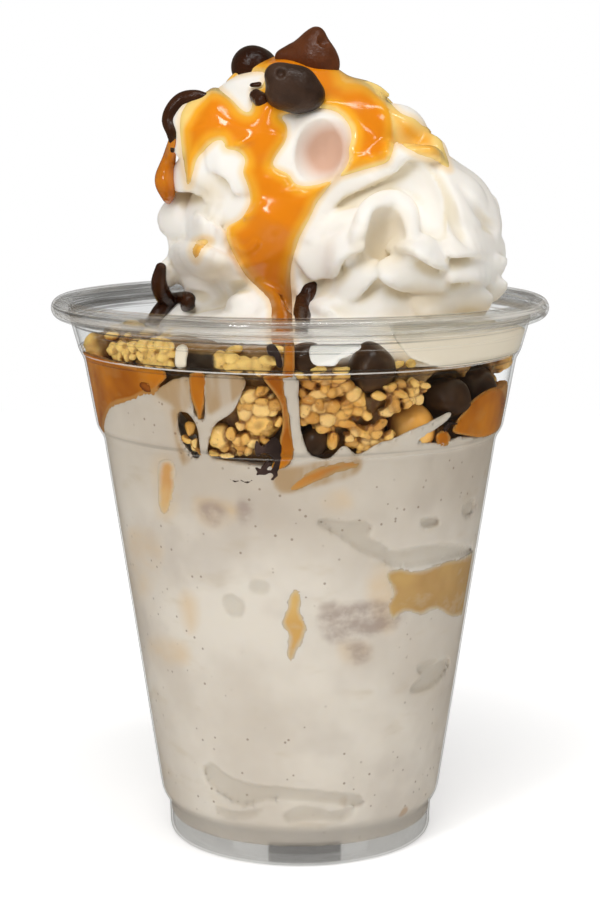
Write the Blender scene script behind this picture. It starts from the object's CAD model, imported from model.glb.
# A yogurt parfait in a clear plastic cup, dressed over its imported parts.
# Lengths are in millimetres until a mesh is made. +Z is up, and the camera looks from -Y.
import math

import bpy
import bmesh
import numpy as np
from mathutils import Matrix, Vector


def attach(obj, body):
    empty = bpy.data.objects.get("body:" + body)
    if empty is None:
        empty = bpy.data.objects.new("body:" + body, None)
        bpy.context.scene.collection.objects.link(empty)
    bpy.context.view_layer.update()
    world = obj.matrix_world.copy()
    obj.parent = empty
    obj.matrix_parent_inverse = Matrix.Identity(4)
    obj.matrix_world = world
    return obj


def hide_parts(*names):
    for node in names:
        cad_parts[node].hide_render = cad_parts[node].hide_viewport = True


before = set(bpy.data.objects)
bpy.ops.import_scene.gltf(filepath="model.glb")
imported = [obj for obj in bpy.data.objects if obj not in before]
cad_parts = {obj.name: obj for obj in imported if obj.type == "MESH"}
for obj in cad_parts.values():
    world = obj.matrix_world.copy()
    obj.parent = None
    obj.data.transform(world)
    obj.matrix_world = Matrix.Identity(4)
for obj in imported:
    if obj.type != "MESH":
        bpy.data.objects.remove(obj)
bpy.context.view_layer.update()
mm = 0.001
farAway = 20.0  # distance in a block of space with no shape in it yet


# the smaller of two distances, with a soft crease where they meet
def smoothMin(a, b, soft):
    if soft <= 0.0:
        return np.minimum(a, b)
    overlap = np.maximum(soft - np.abs(a - b), 0.0) / soft
    return np.minimum(a, b) - overlap * overlap * soft * 0.25


def smoothMax(a, b, soft):
    return -smoothMin(-a, -b, soft)


# the sum of what three lengths are along a way
def along(lengths, way):
    return lengths[0] * way[0] + lengths[1] * way[1] + lengths[2] * way[2]


# distance to an egg from places given along its own axes
def eggDistance(places, radii):
    near = np.sqrt(sum((place / radius) ** 2 for place, radius in zip(places, radii)))
    steep = np.sqrt(sum((place / radius ** 2) ** 2 for place, radius in zip(places, radii)))
    return near * (near - 1.0) / np.maximum(steep, 1e-6)


# first and last cell of a box within a block of space
def cellSpan(low, high, corner, step, count):
    first = np.clip(np.floor((low - corner) / step).astype(int), 0, count - 1)
    return first, np.clip(np.ceil((high - corner) / step).astype(int) + 1, first + 1, count)


# a block of space that holds the distance to a shape at each point, below zero inside it
class Volume:
    def __init__(self, low, high, step):
        self.low, self.step = np.array(low, float), step
        self.count = np.ceil((np.array(high) - self.low) / step).astype(int) + 1
        self.values = np.full(self.count, farAway, np.float32)

    def axes(self):
        lines = [self.low[i] + self.step * np.arange(self.count[i]) for i in range(3)]
        return np.meshgrid(*lines, indexing="ij", sparse=True)

    def block(self, low, high):
        first, last = cellSpan(low, high, self.low, self.step, self.count)
        cut = tuple(slice(a, b) for a, b in zip(first, last))
        lines = [self.low[i] + self.step * np.arange(first[i], last[i]) for i in range(3)]
        return cut, np.meshgrid(*lines, indexing="ij", sparse=True)

    def sample(self, points):
        place = (np.asarray(points, float) - self.low) / self.step
        place = np.clip(place, 0.0, self.count - 1.001)
        first = place.astype(int)
        part = place - first
        total = 0.0
        for corner in range(8):
            shift = np.array([corner >> 2 & 1, corner >> 1 & 1, corner & 1])
            weight = np.prod(np.where(shift, part, 1.0 - part), axis=-1)
            at = first + shift
            total = total + weight * self.values[at[..., 0], at[..., 1], at[..., 2]]
        return total

    # which way the distance grows at points, measured so far to each side
    def slope(self, points, reach):
        points = np.asarray(points, float)
        found = np.stack([self.sample(points + reach * way) - self.sample(points - reach * way)
                          for way in np.eye(3)], axis=-1)
        return found / np.maximum(np.linalg.norm(found, axis=-1, keepdims=True), 1e-9)

    # where lines of sight first meet the shape, or pass nearest to it
    def meet(self, starts, ways, near, far, pace=0.3):
        points = starts[:, None] + ways[:, None] * np.arange(near, far, pace)[None, :, None]
        found = self.sample(points)
        hit = found < 0.0
        index = np.where(hit.any(axis=1), hit.argmax(axis=1), found.argmin(axis=1))
        return points[np.arange(len(points)), index]

    def join(self, cut, other, soft):
        self.values[cut] = smoothMin(self.values[cut], other, soft)

    def carve(self, cut, other, soft):
        self.values[cut] = smoothMax(self.values[cut], -other, soft)

    def egg(self, centre, radii, soft=0.0, turn=None, carve=False):
        centre, radii = np.array(centre, float), np.array(radii, float)
        reach = max(radii) + soft + 2.0
        cut, places = self.block(centre - reach, centre + reach)
        places = [place - middle for place, middle in zip(places, centre)]
        if turn is not None:
            places = [along(places, turn[:, i]) for i in range(3)]
        (self.carve if carve else self.join)(cut, eggDistance(places, radii).astype(np.float32), soft)

    # a band along points; each has the way its face looks, a half width and a half thickness
    def band(self, points, faces, widths, depths, soft, carve=False):
        margin = max(max(widths), max(depths)) + soft + 1.5
        cut, (x, y, z) = self.block(points.min(axis=0) - margin, points.max(axis=0) + margin)
        corner = self.low + self.step * np.array([c.start for c in cut])
        size = np.array([c.stop - c.start for c in cut])
        found = np.full(size, farAway, np.float32)
        for i in range(len(points) - 1):
            a, b = points[i], points[i + 1]
            low, high = np.minimum(a, b) - margin, np.maximum(a, b) + margin
            first, last = cellSpan(low, high, corner, self.step, size)
            part = tuple(slice(p, q) for p, q in zip(first, last))
            places = [x[part[0]] - a[0], y[:, part[1]] - a[1], z[:, :, part[2]] - a[2]]
            line = b - a
            length = max(float(line @ line), 1e-6)
            share = np.clip(along(places, line) / length, 0.0, 1.0)
            places = [place - share * step for place, step in zip(places, line)]
            ahead = line / math.sqrt(length)
            face = faces[i] + faces[i + 1]
            face = face - ahead * (face @ ahead)
            face = face / np.linalg.norm(face)
            side = np.cross(ahead, face)
            width = widths[i] + (widths[i + 1] - widths[i]) * share
            depth = depths[i] + (depths[i + 1] - depths[i]) * share
            places = [along(places, way) for way in (side, face, ahead)]
            near = eggDistance(places, (width, depth, np.minimum(width, depth)))
            found[part] = np.minimum(found[part], near)
        (self.carve if carve else self.join)(cut, found, soft)

    # bends the whole shape by smooth waves: size, push and number of each
    def sway(self, waves, rng):
        x, y, z = self.axes()
        shift = [np.zeros(self.count, np.float32) for _ in range(3)]
        for size, push, number in waves:
            for _ in range(number):
                way = rng.normal(size=3)
                way *= 2.0 * math.pi / size / np.linalg.norm(way)
                wave = np.sin(x * way[0] + y * way[1] + z * way[2] + rng.uniform(0.0, 6.28))
                wave = wave.astype(np.float32)
                aim = rng.normal(size=3)
                aim *= push * 1.7 / math.sqrt(number) / np.linalg.norm(aim)
                for i in range(3):
                    shift[i] += wave * np.float32(aim[i])
        points = np.stack([x + shift[0], y + shift[1], z + shift[2]], axis=-1)
        self.values = self.sample(points).astype(np.float32)

    # the same shape in another block of space
    def resampled(self, low, high, step):
        made = Volume(low, high, step)
        values = self.values
        for axis in range(3):
            place = (made.low[axis] + step * np.arange(made.count[axis]) - self.low[axis]) / self.step
            place = np.clip(place, 0.0, self.count[axis] - 1.001)
            first = place.astype(int)
            shape = [-1 if i == axis else 1 for i in range(3)]
            part = (place - first).reshape(shape).astype(np.float32)
            values = values.take(first, axis) * (1.0 - part) + values.take(first + 1, axis) * part
        made.values = values
        return made

    def blurred(self):
        found = self.values
        for axis in range(3):
            found = (np.roll(found, 1, axis) + found * 2.0 + np.roll(found, -1, axis)) * 0.25
        return found

    # the surface at distance zero, as a closed mesh of four-sided faces
    def mesh(self, name):
        self.values[[0, -1]] = self.values[:, [0, -1]] = self.values[:, :, [0, -1]] = 5.0
        inside = self.values < 0.0
        nx, ny, nz = self.count
        some = np.zeros((nx - 1, ny - 1, nz - 1), bool)
        every = np.ones_like(some)
        for corner in range(8):
            i, j, k = corner >> 2 & 1, corner >> 1 & 1, corner & 1
            part = inside[i:nx - 1 + i, j:ny - 1 + j, k:nz - 1 + k]
            some |= part
            every &= part
        cells = some & ~every
        number = np.full(cells.shape, -1, np.int64)
        number[cells] = np.arange(cells.sum())
        at = np.argwhere(cells)
        total, hits = np.zeros((len(at), 3)), np.zeros((len(at), 1))
        faces = []
        for axis in range(3):
            others = [i for i in range(3) if i != axis]
            for a, b in ((0, 0), (0, 1), (1, 0), (1, 1)):
                start = at.copy()
                start[:, others[0]] += a
                start[:, others[1]] += b
                end = start.copy()
                end[:, axis] += 1
                v0, v1 = self.values[tuple(start.T)], self.values[tuple(end.T)]
                cross = (v0 < 0.0) != (v1 < 0.0)
                point = start.astype(float)
                point[:, axis] += np.where(cross, v0 / np.where(cross, v0 - v1, 1.0), 0.0)
                total += np.where(cross[:, None], point, 0.0)
                hits += cross[:, None]
            low = [slice(1, n - 1) for n in self.count]
            low[axis] = slice(0, self.count[axis] - 1)
            high = list(low)
            high[axis] = slice(1, self.count[axis])
            first, second = inside[tuple(low)], inside[tuple(high)]
            edges = np.argwhere(first != second)
            outward = first[tuple(edges.T)]
            edges[:, others] += 1
            ring = []
            for a, b in ((1, 1), (0, 1), (0, 0), (1, 0)):
                cell = edges.copy()
                cell[:, others[0]] -= a
                cell[:, others[1]] -= b
                ring.append(number[tuple(cell.T)])
            quads = np.stack(ring, axis=1)
            flip = outward if axis == 1 else ~outward
            quads[flip] = quads[flip][:, ::-1]
            faces.append(quads)
        points = (total / hits) * self.step + self.low
        return makeMesh(name, points, np.concatenate(faces).tolist())


def addObject(name, data):
    made = bpy.data.objects.new(name, data)
    bpy.context.scene.collection.objects.link(made)
    return made


def makeMesh(name, points, faces):
    data = bpy.data.meshes.new(name)
    data.from_pydata((np.asarray(points) * mm).tolist(), [], faces)
    data.shade_smooth()
    return addObject(name, data)


def pointsOf(piece):
    found = np.empty(len(piece.data.vertices) * 3)
    piece.data.vertices.foreach_get("co", found)
    return found.reshape(-1, 3) / mm


# bends finished points by smooth waves: size, push and number of each
def swayPoints(piece, waves, rng):
    points = pointsOf(piece)
    shift = np.zeros_like(points)
    for size, push, number in waves:
        for _ in range(number):
            way = rng.normal(size=3)
            way *= 2.0 * math.pi / size / np.linalg.norm(way)
            aim = rng.normal(size=3)
            aim *= push * 1.7 / math.sqrt(number) / np.linalg.norm(aim)
            shift += np.sin(points @ way + rng.uniform(0.0, 6.28))[:, None] * aim
    points += shift
    radius = np.hypot(points[:, 0], points[:, 1])
    points[:, :2] *= np.minimum(1.0, wallAt(points[:, 2]) / np.maximum(radius, 1e-6))[:, None]
    piece.data.vertices.foreach_set("co", (points * mm).ravel())


# drops the parts of a mesh that have few points
def dropScraps(piece, least=400):
    work = bmesh.new()
    work.from_mesh(piece.data)
    left, islands = set(work.verts), []
    while left:
        front = [left.pop()]
        island = list(front)
        while front:
            for edge in front.pop().link_edges:
                for vert in edge.verts:
                    if vert in left:
                        left.remove(vert)
                        front.append(vert)
                        island.append(vert)
        islands.append(island)
    for island in islands:
        if len(island) < least:
            bmesh.ops.delete(work, geom=island, context="VERTS")
    work.to_mesh(piece.data)
    work.free()


# The camera. Outlines and places are drawn in the pixels of its picture, which is 600 x 900.
camera = {
    "distance": 425,
    "height": 145.6,
    "tilt": 9.09,
    "lens": 86.25,
    "sensor": 36,
    "pictureHeight": 900,
    "pictureMiddle": (299.5, 450),
    # where its lines of sight are followed, and those of a level look from another side
    "reach": (370, 470),
    "glassReach": (360, 450),
    "levelStart": 90,
    "levelReach": (30, 110),
    # pixels in a millimetre for outlines and for grains, which are drawn a little smaller
    "scale": 5.07,
    "grainScale": 5.5,
}
eye = np.array([0.0, -camera["distance"], camera["height"]])
pitch = math.radians(camera["tilt"])
focal = camera["lens"] / camera["sensor"] * camera["pictureHeight"]
middleAcross, middleDown = camera["pictureMiddle"]


# the line of sight through a place in the picture
def sight(u, v):
    right, up = (u - middleAcross) / focal, (middleDown - v) / focal
    way = np.array([right, math.cos(pitch) + up * math.sin(pitch), up * math.cos(pitch) - math.sin(pitch)])
    return way / np.linalg.norm(way)


# where places in the picture fall on a shape
def seen(volume, places):
    ways = np.array([sight(u, v) for u, v in places])
    return volume.meet(np.repeat(eye[None], len(ways), axis=0), ways, *camera["reach"])


# the same for a level look from another side: across and height in millimetres
def seenFrom(volume, azimuth, places):
    turn = math.radians(azimuth)
    right = np.array([math.cos(turn), math.sin(turn), 0.0])
    away = np.array([-math.sin(turn), math.cos(turn), 0.0])
    starts = np.array([right * x + [0.0, 0.0, z] - away * camera["levelStart"] for x, z in places])
    return volume.meet(starts, np.repeat(away[None], len(places), axis=0), *camera["levelReach"])


# a point of a smooth curve between the second and the third of four points
def curvePoint(p0, p1, p2, p3, t):
    return (2 * p1 + (p2 - p0) * t + (2 * p0 - 5 * p1 + 4 * p2 - p3) * t ** 2
            + (3 * p1 - p0 - 3 * p2 + p3) * t ** 3) / 2


def smoothPath(stations, steps):
    ends = np.concatenate([stations[:1], stations, stations[-1:]])
    made = []
    spans = len(stations) - 1
    for i in range(spans * steps + 1):
        span = min(i // steps, spans - 1)
        made.append(curvePoint(*ends[span:span + 4], i / steps - span))
    return np.array(made)


# path, facing and widths of a fold whose stations are (across, down, half width) on the surface
def foldPath(volume, stations, tilt=0.0, lift=0.0, azimuth=None):
    places = [(u, v) for u, v, _ in stations]
    points = seen(volume, places) if azimuth is None else seenFrom(volume, azimuth, places)
    widths = np.array([[w] for _, _, w in stations])
    normals = volume.slope(points, 2.0)
    points = points + normals * lift
    path = smoothPath(np.concatenate([points, normals, widths], axis=1), 5)
    points, normals, widths = path[:, :3], path[:, 3:6], path[:, 6]
    ahead = np.gradient(points, axis=0)
    ahead /= np.maximum(np.linalg.norm(ahead, axis=1, keepdims=True), 1e-6)
    normals -= ahead * (normals * ahead).sum(axis=1, keepdims=True)
    normals /= np.linalg.norm(normals, axis=1, keepdims=True)
    side = np.cross(ahead, normals)
    angle = math.radians(tilt)
    return points, normals * math.cos(angle) + side * math.sin(angle), widths


# flatness, tilt in degrees, lift, and how soft its creases are
def fold(volume, stations, flat=0.5, tilt=0.0, lift=0.0, soft=0.8, azimuth=None, carve=False):
    points, faces, widths = foldPath(volume, stations, tilt, lift, azimuth)
    volume.band(points, faces, widths, np.maximum(widths * flat, 0.35), soft, carve)


# the axes of a lump whose second one looks along a way, rolled in degrees
def turnTowards(face, roll):
    face = face / np.linalg.norm(face)
    right = np.cross([0.0, 0.0, 1.0], face)
    right = right / np.linalg.norm(right)
    up = np.cross(right, face)
    up = -up if up[2] < 0.0 else up
    c, s = math.cos(math.radians(roll)), math.sin(math.radians(roll))
    return np.stack([right * c + up * s, face, up * c - right * s], axis=1)


# a rounded lump or a scoop: half width, half height, half depth, how far out, roll in degrees
def lobe(volume, place, wide, tall, deep, out=0.0, roll=0.0, soft=1.0, azimuth=None, carve=False):
    point = (seen(volume, [place]) if azimuth is None else seenFrom(volume, azimuth, [place]))[0]
    normal = volume.slope(point[None], 2.5)[0]
    volume.egg(point + normal * out, (wide, deep, tall), soft, turnTowards(-normal, roll), carve)


# a shader's socket that can stand in sums
class Value:
    def __init__(self, finish, socket):
        self.finish, self.socket = finish, socket

    def math(self, operation, *values):
        return self.finish.node("ShaderNodeMath", {"operation": operation}, dict(enumerate(values)))

    def __add__(self, other):
        return self.math("ADD", self, other)

    def __sub__(self, other):
        return self.math("SUBTRACT", self, other)

    def __rsub__(self, other):
        return self.math("SUBTRACT", other, self)

    def __mul__(self, other):
        return self.math("MULTIPLY", self, other)

    def larger(self, other):
        return self.math("MAXIMUM", self, other)

    # how far it is from a number
    def off(self, number):
        return self.math("ABSOLUTE", self - number)

    __radd__ = __add__
    __rmul__ = __mul__


class Finish:
    def __init__(self, name):
        self.material = bpy.data.materials.new(name)
        self.material.use_nodes = True
        self.tree = self.material.node_tree
        self.tree.nodes.clear()

    # a node of a kind, with its settings and the values or links of its sockets
    def node(self, kind, settings=None, sockets=None, output=0):
        made = self.tree.nodes.new(kind)
        for key, value in (settings or {}).items():
            setattr(made, key, value)
        for key, value in (sockets or {}).items():
            if isinstance(value, Value):
                self.tree.links.new(value.socket, made.inputs[key])
            else:
                made.inputs[key].default_value = value
        return Value(self, made.outputs[output])

    def place(self):
        return self.node("ShaderNodeTexCoord", output="Object")

    # a place's part along one axis, in millimetres
    def length(self, axis, at=None):
        return self.node("ShaderNodeSeparateXYZ", {}, {0: at or self.place()}, output=axis) * 1000.0

    def noise(self, scale, detail=2.0, rough=0.5, at=None, stretch=None):
        at = at or self.place()
        if stretch:
            at = self.node("ShaderNodeMapping", {}, {"Vector": at, "Scale": stretch})
        sockets = {"Vector": at, "Scale": scale, "Detail": detail, "Roughness": rough}
        return self.node("ShaderNodeTexNoise", {}, sockets)

    # a value that the mesh carries at its points
    def attribute(self, name):
        return self.node("ShaderNodeAttribute", {"attribute_name": name}, output="Fac")

    def dots(self, scale, at=None):
        return self.node("ShaderNodeTexVoronoi", {"feature": "F1"},
                         {"Vector": at or self.place(), "Scale": scale})

    # 0 to 1 as a value goes from one number to another
    def rise(self, value, low, high):
        return self.node("ShaderNodeMapRange", {"interpolation_type": "SMOOTHSTEP"},
                         {"Value": value, "From Min": low, "From Max": high})

    def blend(self, share, first, second):
        first, second = ((*each, 1.0) if isinstance(each, tuple) else each for each in (first, second))
        return self.node("ShaderNodeMix", {"data_type": "RGBA"}, {0: share, 6: first, 7: second}, output=2)

    # lays named tones over a colour, each by its share
    def layers(self, colour, tones, shares):
        for share, name in shares:
            colour = self.blend(share, colour, tones[name])
        return colour

    def mixShaders(self, share, first, second):
        return self.node("ShaderNodeMixShader", {}, {0: share, 1: first, 2: second})

    def bump(self, height, strength, distance, normal=None):
        sockets = {"Height": height, "Strength": strength, "Distance": distance}
        if normal:
            sockets["Normal"] = normal
        return self.node("ShaderNodeBump", {}, sockets)

    def principled(self, sockets):
        return self.node("ShaderNodeBsdfPrincipled", {}, sockets)

    def done(self, shader):
        end = self.tree.nodes.new("ShaderNodeOutputMaterial")
        self.tree.links.new(shader.socket, end.inputs["Surface"])
        return self.material


# a colour given as it shows on a screen
def shown(red, green, blue):
    return tuple((c / 255 / 12.92 if c <= 10.3 else ((c / 255 + 0.055) / 1.055) ** 2.4)
                 for c in (red, green, blue))


# the colours that a piece's values name
def tonesOf(values):
    return {name: shown(*colour) for name, colour in values["colours"].items()}


# gives a piece its finish, its slot and the node that it stands for
def dress(piece, material, node):
    piece.data.materials.clear()
    piece.data.materials.append(material)
    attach(piece, "root")
    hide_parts(node)


# the cup, a turned sheet of plastic
cup = {
    "sheet": 0.5,
    "steps": 180,
    "rimRadius": 48.9,
    "height": 108.6,
    "roll": 1.75,
    # half the turn of the rim's curl in degrees, and its pieces
    "rollTurn": 150,
    "rollPieces": 24,
    # outside radius, height and rounding of each corner from the foot to the rim
    "wall": ((26.4, 0, 1.5), (26.6, 6.6, 0.9), (28.1, 8.9, 1.2), (39, 81.3, 1), (40.3, 83.4, 1),
        (42.7, 96.9, 0.7), (43.6, 98.5, 0.8), (45.3, 104.6, 1.2)),
    "ring": ((21.6, 0, 0.9), (20, 3.7, 0.9)),
    # lines at the steps of the wall: height, half width, strength
    "darkLines": ((98.7, 0.2, 0.6), (97.2, 0.25, 0.4), (82.9, 0.5, 0.2), (103.6, 0.25, 0.5),
        (101.9, 0.12, 0.25)),
    "brightLines": ((98.1, 0.18, 0.5), (82, 0.2, 0.12), (104.2, 0.3, 0.4), (102.4, 0.1, 0.2)),
    # darker oblong at the front of the foot: middle, half width, lowest and highest height, strength
    "mark": (0.9, 7, 0.95, 5.1, 0.24),
    # how dark the outline of the wall and of the rim is, and the far wall above the food
    "outlineShare": 0.4,
    "rimOutlineShare": 0.12,
    "farShare": 0.05,
    "farLeftShare": 0.08,
    "glassShare": 0.2,
    "glossShare": 0.012,
    "glossRise": 0.07,
}


# rounds the corners of a line of (radius, height, rounding)
def rounded(corners, pieces=5):
    made = []
    for i, (r, z, size) in enumerate(corners):
        here = np.array([r, z])
        if size <= 0.0 or i in (0, len(corners) - 1):
            made.append(here)
            continue
        before, after = np.array(corners[i - 1][:2]), np.array(corners[i + 1][:2])
        a = here + (before - here) / np.linalg.norm(before - here) * size
        b = here + (after - here) / np.linalg.norm(after - here) * size
        for k in range(pieces + 1):
            t = k / pieces
            made.append(a * (1 - t) ** 2 + here * 2 * t * (1 - t) + b * t ** 2)
    return made


# middle line of the sheet, from the middle of the floor out, up the wall and round the rim
def cupLine():
    half = cup["sheet"] / 2
    corners = [(0.0, cup["ring"][-1][1] + half, 0.0)]
    corners += [(r, z + half, size) for r, z, size in reversed(cup["ring"])]
    corners += [(r - half, z + (half if z == 0.0 else 0.0), size) for r, z, size in cup["wall"]]
    middle = np.array([cup["rimRadius"] - half - cup["roll"], cup["height"] - half - cup["roll"]])
    curl = []
    for k in range(cup["rollPieces"] + 1):
        turn = math.radians(cup["rollTurn"] * (1.0 - 2.0 * k / cup["rollPieces"]))
        curl.append(middle + cup["roll"] * np.array([math.cos(turn), math.sin(turn)]))
    corners.append((*curl[0], 0.0))
    line = rounded(corners)
    return np.array(line[:-1] + curl)


# turns an outline round the middle; its first and last points lie there
def lathe(name, outline, steps):
    angles = np.arange(steps) * 2.0 * math.pi / steps
    inner = outline[1:-1]
    points = [np.stack([r * np.sin(angles), -r * np.cos(angles), np.full(steps, z)], axis=1)
              for r, z in inner]
    points = np.concatenate(points + [[[0.0, 0.0, outline[0][1]]], [[0.0, 0.0, outline[-1][1]]]])
    faces = []
    low, high = len(points) - 2, len(points) - 1
    for j in range(steps):
        k = (j + 1) % steps
        faces.append((low, k, j))
        for i in range(len(inner) - 1):
            faces.append((i * steps + j, i * steps + k, (i + 1) * steps + k, (i + 1) * steps + j))
        top = (len(inner) - 1) * steps
        faces.append((top + j, top + k, high))
    return makeMesh(name, points, faces)


# clear plastic: see-through, with a share of gloss, of glass at its edges, and of bright and dark lines
def cupFinish():
    finish = Finish("clear plastic")
    across, depth, height = (finish.length(axis) for axis in "XYZ")
    facing = finish.node("ShaderNodeLayerWeight", {}, {"Blend": 0.32}, output="Facing")
    ripple = finish.noise(60.0, 2.0, 0.5, stretch=(1.0, 1.0, 0.35))
    scuff = finish.noise(900.0, 2.0, 0.6)
    outward = finish.node("ShaderNodeMath", {"operation": "SQRT"}, {0: across * across + depth * depth})
    lines = finish.node("ShaderNodeCombineXYZ", {},
                        {0: across * 0.25, 1: depth * 0.25, 2: (height - outward * 0.7) * 32.0})
    streaks = finish.noise(0.06, 3.0, 0.6, lines)
    normal = finish.bump(ripple, 0.12, 0.0006)
    clear = finish.node("ShaderNodeBsdfTransparent", {}, {"Color": (0.985, 0.99, 0.99, 1.0)})
    glass = finish.principled({"Base Color": (0.97, 0.985, 0.985, 1.0), "Roughness": 0.03 + scuff * 0.03,
                               "IOR": 1.57, "Transmission Weight": 1.0, "Normal": normal})
    gloss = finish.principled({"Base Color": (0.9, 0.91, 0.92, 1.0), "Metallic": 1.0,
                               "Roughness": 0.04 + scuff * 0.04, "Normal": normal})
    dark = finish.principled({"Base Color": (0.035, 0.028, 0.022, 1.0), "Roughness": 0.25})
    bright = finish.principled({"Base Color": (0.88, 0.84, 0.78, 1.0), "Roughness": 0.25})
    atRim, atFoot = finish.rise(height, 103.0, 104.5), finish.rise(height, 8.2, 7.0)
    edges = finish.rise(height, 104.2, 105.2).larger(atFoot * 0.5)
    toRight = finish.rise(across, 5.0, 42.0)

    def lineShare(levels, share):
        for level, reach, strength in levels:
            near = finish.rise(height.off(level), reach, reach * 0.3)
            share = share.larger(near * strength * finish.rise(streaks, 0.38, 0.56))
        return share

    pale = lineShare(cup["brightLines"], finish.rise(streaks, 0.54, 0.66) * atRim * (0.24 + toRight * 0.4))
    dim = lineShare(cup["darkLines"], finish.rise(streaks, 0.47, 0.36) * atRim * (0.5 - toRight * 0.2))
    outline = finish.rise(facing, 0.55, 0.95) * (
        cup["outlineShare"] - atRim * (cup["outlineShare"] - cup["rimOutlineShare"]))
    far = finish.rise(depth, -12.0, 10.0) * finish.rise(height, 97.0, 100.0)
    far = far * (cup["farShare"] + finish.rise(across, 15.0, -15.0) * cup["farLeftShare"])
    middle, half, low, high, strength = cup["mark"]
    mark = finish.rise(across.off(middle), half + 0.3, half - 0.3)
    mark = mark * finish.rise(height, high + 0.3, high - 0.3) * finish.rise(height, low - 0.25, low + 0.25)
    mark = mark * finish.rise(depth, 0.0, -5.0) * strength
    dim = dim.larger(outline).larger(far + atFoot * 0.05 + mark)
    mixed = clear
    for share, shader in ((cup["glossShare"] + facing * facing * cup["glossRise"], gloss),
                          (edges * cup["glassShare"], glass), (pale.larger(atFoot * 0.04), bright),
                          (dim, dark)):
        mixed = finish.mixShaders(share, mixed, shader)
    return finish.done(mixed)


def makeCup():
    line = cupLine()
    ahead = np.gradient(line, axis=0)
    ahead /= np.linalg.norm(ahead, axis=1, keepdims=True)
    out = np.stack([ahead[:, 1], -ahead[:, 0]], axis=1) * cup["sheet"] / 2
    outside, inside = line + out, line - out
    outside[0, 0] = inside[0, 0] = 0.0
    edge = line[-1] + ahead[-1] * cup["sheet"] / 2
    outline = np.concatenate([outside, [edge], inside[::-1]])
    dress(lathe("clear_cup", outline, cup["steps"]), cupFinish(), "cup")


# inside radius of the cup at a height
wallHeights = np.array([z for _, z, _ in cup["wall"]] + [120.0])
wallRadii = np.array([r for r, _, _ in cup["wall"]] + [cup["wall"][-1][0]])


def wallAt(z):
    return np.interp(z, wallHeights, wallRadii) - cup["sheet"]


makeCup()
print("cup made")


# a place on the cup's inside, so many millimetres in from it, and the way out there
def onWall(angle, z, back=0.0):
    turn = math.radians(angle)
    out = np.array([math.sin(turn), -math.cos(turn), 0.0])
    return out * (float(wallAt(z)) - back) + [0.0, 0.0, z], out


# where a point shows in the picture
def pictured(x, y, z):
    away, up = y + camera["distance"], z - camera["height"]
    depth = away * math.cos(pitch) - up * math.sin(pitch)
    raised = away * math.sin(pitch) + up * math.cos(pitch)
    return middleAcross + focal * x / depth, middleDown - focal * raised / depth


# how far places in the picture lie from a closed outline, in millimetres, below zero inside it
def outlineDistance(outline, u, v):
    outline = np.array(outline, float)
    ring = np.concatenate([outline[-1:], outline, outline[:2]])
    outline = np.array([curvePoint(*ring[i:i + 4], k / 3) for i in range(len(outline)) for k in range(3)])
    near = np.full(u.shape, 1e9)
    within = np.zeros(u.shape, bool)
    for (ua, va), (ub, vb) in zip(outline, np.roll(outline, -1, axis=0)):
        du, dv = ub - ua, vb - va
        share = np.clip(((u - ua) * du + (v - va) * dv) / max(du * du + dv * dv, 1e-9), 0.0, 1.0)
        near = np.minimum(near, (u - ua - share * du) ** 2 + (v - va - share * dv) ** 2)
        crosses = (va > v) != (vb > v)
        if dv != 0.0:
            within ^= crosses & (u < ua + (v - va) * du / dv)
    return np.where(within, -1.0, 1.0) * np.sqrt(near) / camera["scale"]


# a layer on the inside of the cup's front, within an outline drawn in the picture
def wallLayer(volume, outline, depth, soft, carve=False):
    outline = np.array(outline, float)
    x, y, z = np.broadcast_arrays(*volume.axes())
    radius = np.sqrt(x * x + y * y)
    inner = wallAt(z) - depth
    u, v = pictured(x, y, z)
    (left, top), (right, bottom) = outline.min(axis=0) - 15, outline.max(axis=0) + 15
    near = ((radius > inner - 2.5) & (radius < inner + depth + 3.0) & (y < 4.0)
            & (u > left) & (u < right) & (v > top) & (v < bottom))
    found = np.maximum(outlineDistance(outline, u[near], v[near]), inner[near] - radius[near])
    (volume.carve if carve else volume.join)(near, found, soft)


# how deep a point of a mesh lies within outlines of the picture, in millimetres, at the front
def shareWithin(piece, outlines, soft, start=0.5):
    points = pointsOf(piece)
    u, v = pictured(*points.T)
    share = np.zeros(len(points))
    for outline in outlines:
        share = np.maximum(share, np.clip(-outlineDistance(outline, u, v) / soft + start, 0.0, 1.0))
    return np.where(points[:, 1] < 6.0, share, 0.0)


def addAttribute(piece, name, values):
    layer = piece.data.attributes.new(name, "FLOAT", "POINT")
    layer.data.foreach_set("value", np.asarray(values, np.float32))


# the place so far in from the glass that shows at a place in the picture, and the way out there
def onGlass(u, v, back=0.0):
    points = eye + sight(u, v) * np.arange(*camera["glassReach"], 0.05)[:, None]
    inside = np.hypot(points[:, 0], points[:, 1]) < wallAt(points[:, 2]) - back
    point = points[inside.argmax()]
    return point, np.array([point[0], point[1], 0.0]) / math.hypot(point[0], point[1])


# a flat round patch on the wall
def patch(volume, angle, z, wide, tall, depth, roll=0.0, soft=0.5, carve=False):
    point, out = onWall(angle, z)
    volume.egg(point, (wide, depth, tall), soft, turnTowards(-out, roll), carve)


# trims a shape to the cup's inside; into is how far it enters the sheet, so that no air shows
def trimToCup(volume, into):
    x, y, z = volume.axes()
    room = (np.sqrt(x * x + y * y) - (wallAt(z) + into)) * 0.99
    volume.values = np.maximum(volume.values, np.broadcast_to(room, volume.values.shape)).astype(np.float32)


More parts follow.
